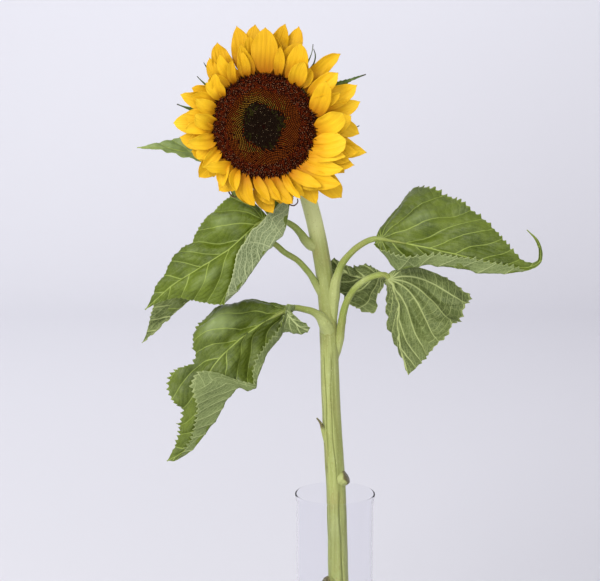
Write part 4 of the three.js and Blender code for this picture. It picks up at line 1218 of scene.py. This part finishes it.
PETAL_CELL, BRACT_CELL = 0.62, 0.9  # size of a mesh's cells
PETAL_SHEET, BRACT_SHEET = 0.12, 0.2  # from the middle of a blade to either surface
THINNEST = 0.12  # half width that is left at a blade's tip
# Ranges that each petal's own shape is drawn from: how its tip curls up, how it bows aside in
# degrees, how full its outline is, its pleats, how strongly it is creased along the middle, how
# far one of its sides is lifted, and how much paler it is than its place in the ring makes it.
PETAL_RANGES = {"tip_curl": (-3, 2.5), "bow": (-3.5, 3.5), "fullness": (0.9, 1.15),
                "pleat_width": (3.4, 5), "pleat": (0.12, 0.4), "crease": (0.1, 1), "one_side": (-1.6, 1.6),
                "pale": (-0.4, 0.7)}
# Relief over a whole petal, in mm, and the threads that run along it.
BUCKLE, EDGE_WAVES, CREASE = 0.8, 1.2, 0.8
THREADS = {"height": 0.09, "width": 1.35}
# How the finely pleated petals differ: their pleats are narrower and higher, and they are painted darker, as
# painted shade on the petals at the top.
RIBBED = {"narrower": 1.4, "higher": 0.5, "darker": 0.7}


def head_blade(path, half_width, profile, twist, cup, cell):
    """A grid of points for a petal or bract: its path and results are in the head's own frame.

    Also gives each point's share along and across, and millimetres along and across."""
    rib = Curve(path)
    rows = np.linspace(0, 1, max(int(rib.length / cell), 12))
    across = np.linspace(-1, 1, 2 * max(int(half_width / cell), 4) + 1)
    tangent = rib.tangent(rows)
    face = np.array([0, 0, 1.0])
    up = unit(face - (tangent @ face)[:, None] * tangent)
    side = np.cross(up, tangent)
    turn = np.radians(twist) * smooth(rows)[:, None]
    up, side = up * np.cos(turn) + side * np.sin(turn), side * np.cos(turn) - up * np.sin(turn)
    width = np.maximum(half_width * through(profile, rows), THINNEST)
    bend = np.radians(cup)
    out = width[:, None] * np.sin(bend * across) / bend
    lift = width[:, None] * (1 - np.cos(bend * across)) / bend
    points = rib.point(rows)[:, None] + side[:, None] * out[..., None] + up[:, None] * lift[..., None]
    share = np.broadcast_to(rows[:, None], out.shape)
    v = np.broadcast_to(across, out.shape)
    return points, share, v, share * rib.length, width[:, None] * across


def make_petal(name, ring, petal, seed):
    """One ray petal that arches out from the rim of the cup."""
    root_angle, tip_angle, tip, half_width, lift, twist, cup, blunt = petal
    rng = np.random.default_rng(seed)
    sway = wrapped(tip_angle - root_angle)

    def drawn(key):
        return rng.uniform(*PETAL_RANGES[key])

    tip_curl, bow = drawn("tip_curl"), drawn("bow")
    path = []
    for t in (0, 0.3, 0.6, 0.82, 1):
        radius = ring["root"] + (tip - ring["root"]) * t
        swing = math.radians(root_angle + sway * t + bow * math.sin(math.pi * t))
        height = ring["base"] + lift * t**1.3 + ring["arch"] * math.sin(math.pi * t**0.8) + tip_curl * t**4
        path.append(polar(radius, swing, height))
    shape = (1 - blunt) * np.array(PETAL_PROFILE) + blunt * np.array(BLUNT_PROFILE)
    profile = through(shape, np.linspace(0, 1, 24) ** drawn("fullness"))
    points, share, v, along, aside = head_blade(path, half_width, profile, twist, cup, PETAL_CELL)

    wavering = aside + 0.5 * np.sin(along * 0.17 + rng.uniform(0, TURN))
    ribbed = math.exp(-((tip_angle - RIBBED_HEADING) / RIBBED_SPREAD) ** 2)
    pleat_width = drawn("pleat_width") - RIBBED["narrower"] * ribbed
    pleat_height = drawn("pleat") * (1 + RIBBED["higher"] * ribbed)
    pleats = pleat_height * np.cos(TURN * wavering / pleat_width + rng.uniform(0, TURN))
    pleats = pleats * (0.65 + 0.45 * waves(aside, along * 0.2, 9, seed + 2))
    pleats = pleats * smooth(share * 3.5) * (1 - smooth((share - 0.55) / 0.45))
    threads = THREADS["height"] * np.cos(TURN * wavering / THREADS["width"])
    crease = CREASE * drawn("crease") ** 2 * np.exp(-(v / 0.12) ** 2)
    crease = crease * smooth(share * 5) * smooth((1 - share) * 3)
    buckle = BUCKLE * waves(along, aside, 17, seed) * smooth(share * 2.5)
    edge = EDGE_WAVES * v**2 * waves(along, 3 * np.sign(v), 12, seed + 1)
    edge = edge * smooth(share * 2) * smooth((1 - share) * 4)
    one_side = drawn("one_side") * np.clip(v * rng.choice([-1, 1]), 0, 1) ** 2 * np.sin(math.pi * share)
    relief = ring["relief"] * (buckle + edge + one_side) + pleats + threads - crease
    points = points + grid_normals(points) * relief[..., None]
    # Which gold a petal takes: its ring's tone and its own random tone, plus painted light that makes the
    # petals to the left and right paler and painted shade that makes the finely pleated ones at the top
    # darker.
    to_the_side = math.cos(math.radians(tip_angle)) ** 2
    pale = ring["pale"] + PAINTED_LIGHT_AT_SIDES * to_the_side + drawn("pale") - RIBBED["darker"] * ribbed
    finish = list(petal_gold.values())[int(np.clip(pale, 0, len(petal_gold) - 1))]
    piece = head_sheet(name, points, PETAL_SHEET, finish, share, along, aside, seed * PATTERN_STEP["petal"])
    return piece


def make_petals():
    """The three whorls. The CAD's petals are hidden."""
    for number, (ring_name, ring) in enumerate(PETAL_RINGS.items()):
        pieces = [make_petal(f"ray_{ring_name}_{k + 1}", ring, petal, 100 * number + k)
                  for k, petal in enumerate(ring["petals"])]
        nodes = sorted(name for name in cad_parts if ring["node"] and name.startswith(ring["node"]))
        for k, node in enumerate(nodes):
            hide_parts(node)


def make_bract(name, bract, seed):
    """One green bract that hugs the cup and then stands out behind the petals."""
    root_angle, tip_angle, tip, half_width, curl = bract
    path = []
    for t, height in BRACT_HEIGHTS:
        radius = BRACT_ROOT + (tip - BRACT_ROOT) * t
        swing = math.radians(root_angle + (tip_angle - root_angle) * t)
        path.append(polar(radius, swing, height))
    ahead = path[-1] - path[-2]
    stride = 0.3 * np.linalg.norm(ahead[:2])
    for step in (1, 2, 3, 4):
        ahead = turned(unit(ahead), curl / 4) * stride
        path.append(path[-1] + ahead + np.array([0, 0, abs(curl) / 200 * step]))
    points, share, v, along, aside = head_blade(
        path, half_width, BRACT_PROFILE, curl / 3, BRACT_CUP, BRACT_CELL)
    rough = 0.25 * np.cos(TURN * aside / 2.4) * (1 - share) + 0.5 * waves(along, aside, 14, seed)
    points = points + grid_normals(points) * rough[..., None]
    if tip > SERRATE_TIP:
        middle = points[:, points.shape[1] // 2][:, None]
        tooth = 1 + 0.5 * ((along / 3.2) % 1) * smooth((share - 0.55) * 6) * smooth((1 - share) * 8)
        points = middle + (points - middle) * (1 + (tooth - 1) * np.abs(v))[..., None]
    layer = seed * PATTERN_STEP["bract"]
    piece = head_sheet(name, points, BRACT_SHEET, bract_green, share, along, aside, layer)
    return piece


def make_bracts():
    """All the bracts. The CAD's five bracts are hidden."""
    pieces = [make_bract(f"phyllary_{k + 1}", bract, 500 + k) for k, bract in enumerate(BRACTS)]
    nodes = sorted(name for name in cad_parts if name.startswith("bract_"))
    for piece, node in zip(pieces, nodes):
        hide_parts(node)


def make_tendril(name, points):
    """A thin dry bract that comes forward between the petals."""
    heights = np.linspace(*TENDRIL["heights"], len(points))
    curve = Curve([polar(radius, math.radians(angle), height)
                   for (radius, angle), height in zip(points, heights)])

    def radius_at(share, angle):
        return TENDRIL["radius"] - TENDRIL["thinner"] * share

    vertices, faces, along, angle = tube(curve, radius_at, 8, 60)
    piece = new_piece(name, head_to_world(vertices), faces, [bract_brown], None, {"along": 0.5 * along},
                      pattern_place(along * curve.length, angle, 0))


# The cup's outline from its rim down to the neck, as (radius, height) points.
CUP_PROFILE = [(33.5, 6), (36.5, 5), (37.5, 2.5), (36, -1.5), (31.5, -5.5), (24.5, -9), (17.5, -12),
               (11.5, -15), (8.6, -17), (7.2, -19)]
# Its ridges, and the radius up to which it has the neck's pale colour and over how many mm
# that fades.
CUP = {"sides": 180, "ridges": 30, "ridge": 0.5, "smooth_above": 3, "neck": 7, "pale_over": 13,
       "pattern_radius": 30}


def make_receptacle():
    """The green cup behind the petals, with the ridges of the bracts' feet round it."""
    outline = Curve([(radius, height, 0) for radius, height in CUP_PROFILE])
    rows = outline.point(np.linspace(0, 1, 40))[:, :2]
    top, bottom = CUP_PROFILE[0][1], CUP_PROFILE[-1][1]
    vertices, faces = lathe([(0, bottom)] + [tuple(row) for row in rows[::-1]] + [(0, top)], CUP["sides"])
    x, y, z = vertices.T
    radius, angle = np.hypot(x, y), np.arctan2(y, x)
    ridge = CUP["ridge"] * np.cos(CUP["ridges"] * angle + 3 * np.sin(2 * angle))
    ridge = ridge * smooth(radius / 12) * (z < CUP["smooth_above"])
    outwards = np.stack([x, y, 0 * radius], -1) / np.maximum(radius, 1)[:, None]
    vertices = vertices + outwards * ridge[:, None]
    piece = new_piece("receptacle_cup", head_to_world(vertices), faces, [cup_green], None,
                      {"along": 1 - smooth((radius - CUP["neck"]) / CUP["pale_over"])},
                      pattern_place(angle * CUP["pattern_radius"], z + radius, 0))
    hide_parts("receptacle")


FLORET_STEP = 0.69  # the spiral's scale: a floret's radius is this times the root of its number
FIRST_FLORET = 4
GOLDEN_ANGLE = math.radians(137.508)
SPIRAL = 55  # florets this far apart in number lie along the same spiral line
# The disc's zones: a dark centre, streaks of gold and rust, and open florets round the outside.
CENTRE_RADIUS, STREAK_RADIUS = 15.0, 27
FRINGE = 4.5  # the centre's outer part, which has green buds in it
# Headings in degrees: the lit side, where the golden streaks are painted most often as painted light, a
# corner of the centre, which is slightly square, and where most of the green buds are, with how widely they
# spread.
LIT_HEADING, CORNER_HEADING = 150, 20
GREEN_HEADINGS = [(0, 1400), (135, 900)]
LINE_DEPTH = {"gold": 0.5, "rust": 0.6}  # how deep the streaks' ridges sit below the disc's face
BUD_DEPTH = 2.2
# The loose florets that lean out round the disc's rim.
RIM = {"count": 230, "lean": (-1.0, 0.25), "inside": (-2.2, -0.2), "heights": (4.5, 8),
       "sizes": (0.75, 1.15)}
BED = {"inside": 0.6, "foot": 2, "below": 2.6}  # the dark bed that the florets stand in


def disc_height(radius):
    """The height of the disc's face above the head's plane."""
    return through(DISC_HEIGHTS, radius / DISC_RADIUS)


def bud_shape(sides, profile):
    """A small closed bud from (radius, height) points above its foot; the last point is its tip."""
    angle = np.linspace(0, TURN, sides, endpoint=False)
    rings = [polar(radius, angle, height) for radius, height in profile[:-1]]
    vertices = np.concatenate(rings + [[[0, 0, profile[-1][1]]]])
    faces = []
    for k in range(len(rings) - 1):
        for j in range(sides):
            a, b = k * sides + j, k * sides + (j + 1) % sides
            faces += [(a, b, b + sides), (a, b + sides, a + sides)]
    last = (len(rings) - 1) * sides
    faces += [(last + j, last + (j + 1) % sides, len(vertices) - 1) for j in range(sides)]
    faces += [(0, j + 1, j) for j in range(1, sides - 1)]
    return vertices, np.array(faces)


def star_shape(lobes, inner, outer, low, high):
    """An open corolla: pointed lobes that spread from a short tube."""
    angle = np.linspace(0, TURN, 2 * lobes, endpoint=False)
    radius = np.where(np.arange(2 * lobes) % 2 == 0, outer, inner)
    height = np.where(np.arange(2 * lobes) % 2 == 0, high, (low + high) / 2)
    n = 2 * lobes
    top = polar(radius, angle, height)
    foot = polar(0.35, angle, low - 1.2)
    throat = np.array([[0, 0, low]])
    vertices = np.concatenate([top, foot, throat])
    faces = []
    for j in range(n):
        k = (j + 1) % n
        faces += [(n + j, n + k, k), (n + j, k, j), (j, k, 2 * n)]
    faces += [(n, n + j + 1, n + j) for j in range(1, n - 1)]
    return vertices, np.array(faces)


def sliver_shape():
    """A low pointed ridge that lies along +X."""
    vertices = [(0.74, 0, 0), (-0.74, 0, 0), (0, 0.25, 0), (0, -0.25, 0), (0, 0, 0.42), (0, 0, -0.5)]
    faces = [(0, 2, 4), (2, 1, 4), (1, 3, 4), (3, 0, 4), (2, 0, 5), (1, 2, 5), (3, 1, 5), (0, 3, 5)]
    return np.array(vertices), np.array(faces)


def curl_shape():
    """A stigma: a thin stalk whose tip curls over to one side."""
    path = Curve([(0, 0, 0), (0, 0, 1.2), (0.25, 0, 1.9), (0.75, 0, 2.1), (1.0, 0, 1.7)])
    vertices, faces, _, _ = tube(path, lambda share, angle: 0.2 - 0.08 * share + 0 * angle, 4, 7)
    triangles = np.concatenate([faces[0][:, [0, 1, 2]], faces[0][:, [0, 2, 3]], faces[1]])
    return vertices, triangles


def disc_frames(angle, lean, spin):
    """Axes for florets: +Z stands on the disc and leans inwards, turned about itself by spin."""
    outward = polar(1, angle, 0)
    around = np.stack([-outward[:, 1], outward[:, 0], 0 * angle], -1)
    up = np.array([0, 0, 1.0]) * np.cos(lean)[:, None] - outward * np.sin(lean)[:, None]
    out = np.cross(around, up)
    x = out * np.cos(spin)[:, None] + around * np.sin(spin)[:, None]
    y = around * np.cos(spin)[:, None] - out * np.sin(spin)[:, None]
    return np.stack([x, y, up], -1)


def make_disc():
    """The florets of the disc, along the spirals of a seed head, and the bed under them."""
    rng = np.random.default_rng(21)
    number = np.arange(FIRST_FLORET, int((DISC_RADIUS / FLORET_STEP) ** 2))
    even_radius, even_angle = FLORET_STEP * np.sqrt(number), number * GOLDEN_ANGLE
    loose = 0.25 + 0.75 * smooth((even_radius - 23) / 6)
    radius = even_radius + loose * rng.normal(0, 0.07, len(number))
    angle = even_angle + loose * rng.normal(0, 0.03, len(number)) / np.maximum(radius / 8, 1)
    next_radius, next_angle = FLORET_STEP * np.sqrt(number + SPIRAL), (number + SPIRAL) * GOLDEN_ANGLE
    places = polar(radius, angle, disc_height(radius))
    zone = radius + 1.6 * waves(places[:, 0], places[:, 1], 24, 7)
    draw = rng.random(len(number))
    line_draw = 0.25 * rng.random(SPIRAL)[number % SPIRAL] + 0.75 * draw
    spin = rng.uniform(0, TURN, len(number))
    onward = polar(next_radius, next_angle, 0) - polar(even_radius, even_angle, 0)
    spiral_heading = np.arctan2(onward[:, 1], onward[:, 0]) - angle
    heading = np.degrees(angle) % 360

    lit_side = 0.5 + 0.5 * np.cos(np.radians(heading - LIT_HEADING))
    green_side = np.max([np.exp(-wrapped(heading - at) ** 2 / spread)
                         for at, spread in GREEN_HEADINGS], axis=0)
    squarish = 1.2 * np.cos(4 * np.radians(heading - CORNER_HEADING))
    blurred = zone + rng.normal(0, 1.0, len(number))
    centre = blurred < CENTRE_RADIUS + squarish
    fringe = centre & (blurred > CENTRE_RADIUS - FRINGE) & (draw < 0.08 + green_side * 0.45)
    streak = ~centre & (zone < STREAK_RADIUS)
    outer = zone >= STREAK_RADIUS
    fade = 1 - smooth((zone - CENTRE_RADIUS - 3) / 9)
    begin = smooth((zone - CENTRE_RADIUS - squarish + 1.5) / 4)
    # The gold lines are the disc's own colour, with more of them on the lit side as painted light.
    gold = streak & (line_draw < (0.1 + 0.95 * lit_side) * fade * begin)
    rust = streak & ~gold & (line_draw < 0.4 + 0.5 * begin)
    green = streak & ~gold & ~rust & (draw < 0.5 * green_side)
    olive = gold & (blurred < CENTRE_RADIUS + 1.8)
    grey = centre & ~fringe & (draw > 0.78)

    closed = bud_shape(6, [(0.3, -1.2), (0.55, 0), (0.6, 0.7), (0.36, 1.4), (0, 1.8)])
    speck = bud_shape(5, [(0.1, 0.9), (0.22, 1.4), (0.17, 1.9), (0, 2.15)])
    open_floret = star_shape(5, 0.42, 1.05, 0.5, 1.3)
    anther = bud_shape(5, [(0.2, 0), (0.22, 1.6), (0.16, 2.3), (0, 2.5)])
    rim_floret = bud_shape(5, [(0.3, -1.5), (0.5, 0), (0.4, 1.4), (0.2, 2.6), (0, 3.3)])
    curl, sliver = curl_shape(), sliver_shape()

    def kind(name, finish, shape, chosen, lean, size, spin_by=spin, lower=BUD_DEPTH):
        """One piece with all the florets of one kind, each a little different."""
        lean_by = np.full(chosen.sum(), lean) + rng.normal(0, 0.12, chosen.sum())
        frames = disc_frames(angle[chosen], lean_by, spin_by[chosen])
        sizes = size * rng.uniform(0.85, 1.15, chosen.sum())
        spots = places[chosen] - np.array([0, 0, lower])
        vertices, faces = scatter(shape, spots, frames, sizes)
        piece = new_piece(name, head_to_world(vertices), [faces], [floret[finish]])

    kind("buds_centre", "bud_black", closed, centre & ~fringe & ~grey, 0.1, 1.05)
    kind("buds_grey", "bud_grey", speck, grey, 0.1, 0.8)
    kind("buds_under_specks", "bud_black", closed, grey, 0.1, 1.0)
    kind("buds_green", "bud_green", closed, fringe | green, 0.15, 1.05)
    kind("buds_dark", "floret_dark", closed, streak & ~green, 0.3, 0.95)
    kind("lines_olive", "bud_olive", sliver, olive, 0.0, 1.0, spiral_heading, LINE_DEPTH["gold"])
    kind("lines_gold", "bud_gold", sliver, gold & ~olive, 0.0, 1.0, spiral_heading, LINE_DEPTH["gold"])
    kind("lines_rust", "bud_rust", sliver, rust, 0.0, 0.95, spiral_heading, LINE_DEPTH["rust"])
    kind("florets_open", "floret_maroon", open_floret, outer & (draw < 0.35), -0.1, 0.95)
    kind("florets_open_dark", "floret_dark", open_floret, outer & (draw >= 0.35), -0.1, 0.95)
    kind("anthers", "floret_dark", anther, outer & (draw < 0.3), 0.05, 1.0)
    kind("anthers_rust", "floret_rust", anther, outer & (draw >= 0.3) & (draw < 0.8), 0.05, 0.95)
    kind("stigmas", "floret_tan", curl, outer & (draw > 0.64), -0.15, 0.66)
    kind("stigmas_rust", "floret_rust", curl, outer & (draw < 0.3), -0.2, 0.8)
    kind("bud_specks", "floret_tan", speck, streak & (draw > 0.86) & (zone > CENTRE_RADIUS + 5), 0.3, 0.6)

    count = RIM["count"]
    rim_angle = np.arange(count) * TURN / count + rng.normal(0, 0.02, count)
    frames = disc_frames(rim_angle, rng.normal(*RIM["lean"], count), rng.uniform(0, TURN, count))
    rim_radius = DISC_RADIUS + rng.uniform(*RIM["inside"], count)
    rim_places = polar(rim_radius, rim_angle, rng.uniform(*RIM["heights"], count))
    vertices, faces = scatter(rim_floret, rim_places, frames, rng.uniform(*RIM["sizes"], count))
    rim = new_piece("rim_florets", head_to_world(vertices), [faces], [floret["floret_dark"]])

    widest = DISC_RADIUS - BED["inside"]
    dome = [(radius, disc_height(radius) - BED["below"]) for radius in np.linspace(widest, 0, 60)]
    vertices, faces = lathe([(0, BED["foot"]), (widest, BED["foot"])] + dome, 140)
    base = new_piece("disc_bed", head_to_world(vertices), faces, [floret["floret_dark"]])
    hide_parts("seed_disc")


make_receptacle()
make_bracts()
for k, tendril in enumerate(TENDRILS):
    make_tendril(f"dry_bract_{k + 1}", tendril)
make_petals()
make_disc()

# ---- Stage ----


def make_backdrop():
    """A floor that sweeps up into a wall, so that no line shows behind the plant."""
    b = BACKDROP
    bend = [(b["bend"] + b["radius"] * math.sin(a), b["radius"] * (1 - math.cos(a)))
            for a in np.radians(np.linspace(0, 90, 19))]
    profile = [(b["front"], 0.0)] + bend + [(b["bend"] + b["radius"], b["top"])]
    vertices = [(x, y, z) for y, z in profile for x in (-b["half_width"], b["half_width"])]
    faces = [(2 * k, 2 * k + 1, 2 * k + 3, 2 * k + 2) for k in range(len(profile) - 1)]
    mesh = bpy.data.meshes.new("backdrop")
    mesh.from_pydata(vertices, [], faces)
    mesh.shade_smooth()
    backdrop = linked("backdrop", mesh)
    f = Finish("backdrop", Roughness=0.9, Specular_IOR_Level=0.1)
    x, _, z = f.parts(f.place((MM, MM, MM)))
    height = f.spread(z, b["dark_at"], b["pale_at"], 1.0, 0.0)
    shade = f.times(height, f.spread(x, b["left"], b["right"], b["left_share"], 1.0))
    f.plug(Base_Color=f.mix(shade, b["pale"], b["dark"]))
    mesh.materials.append(f.material)


def make_camera():
    """The camera, a little above the flower and pitched down."""
    data = bpy.data.cameras.new("camera")
    data.lens, data.sensor_width = CAMERA["lens"], CAMERA["sensor"]
    camera = linked("camera", data)
    camera.location = CAMERA["place"]
    camera.rotation_euler = (math.radians(90 - CAMERA["pitch_down"]), 0, 0)
    bpy.context.scene.camera = camera


def make_light(name, place, aim, size, power, tint):
    """A round area light."""
    data = bpy.data.lights.new(name, "AREA")
    data.shape, data.size, data.energy, data.color = "DISK", size, power, tint
    light = linked(name, data)
    light.location = place
    light.rotation_euler = (Vector(aim) - Vector(place)).to_track_quat("-Z", "Y").to_euler()


def make_world():
    """Soft even light from all round."""
    world = bpy.data.worlds.new("studio")
    bpy.context.scene.world = world
    world.use_nodes = True
    background = world.node_tree.nodes["Background"]
    background.inputs["Color"].default_value = colour(WORLD["tint"])
    background.inputs["Strength"].default_value = WORLD["strength"]


make_backdrop()
make_camera()
make_world()
for light in LIGHTS:
    make_light(*light)
bpy.context.scene.view_settings.view_transform = "Standard"
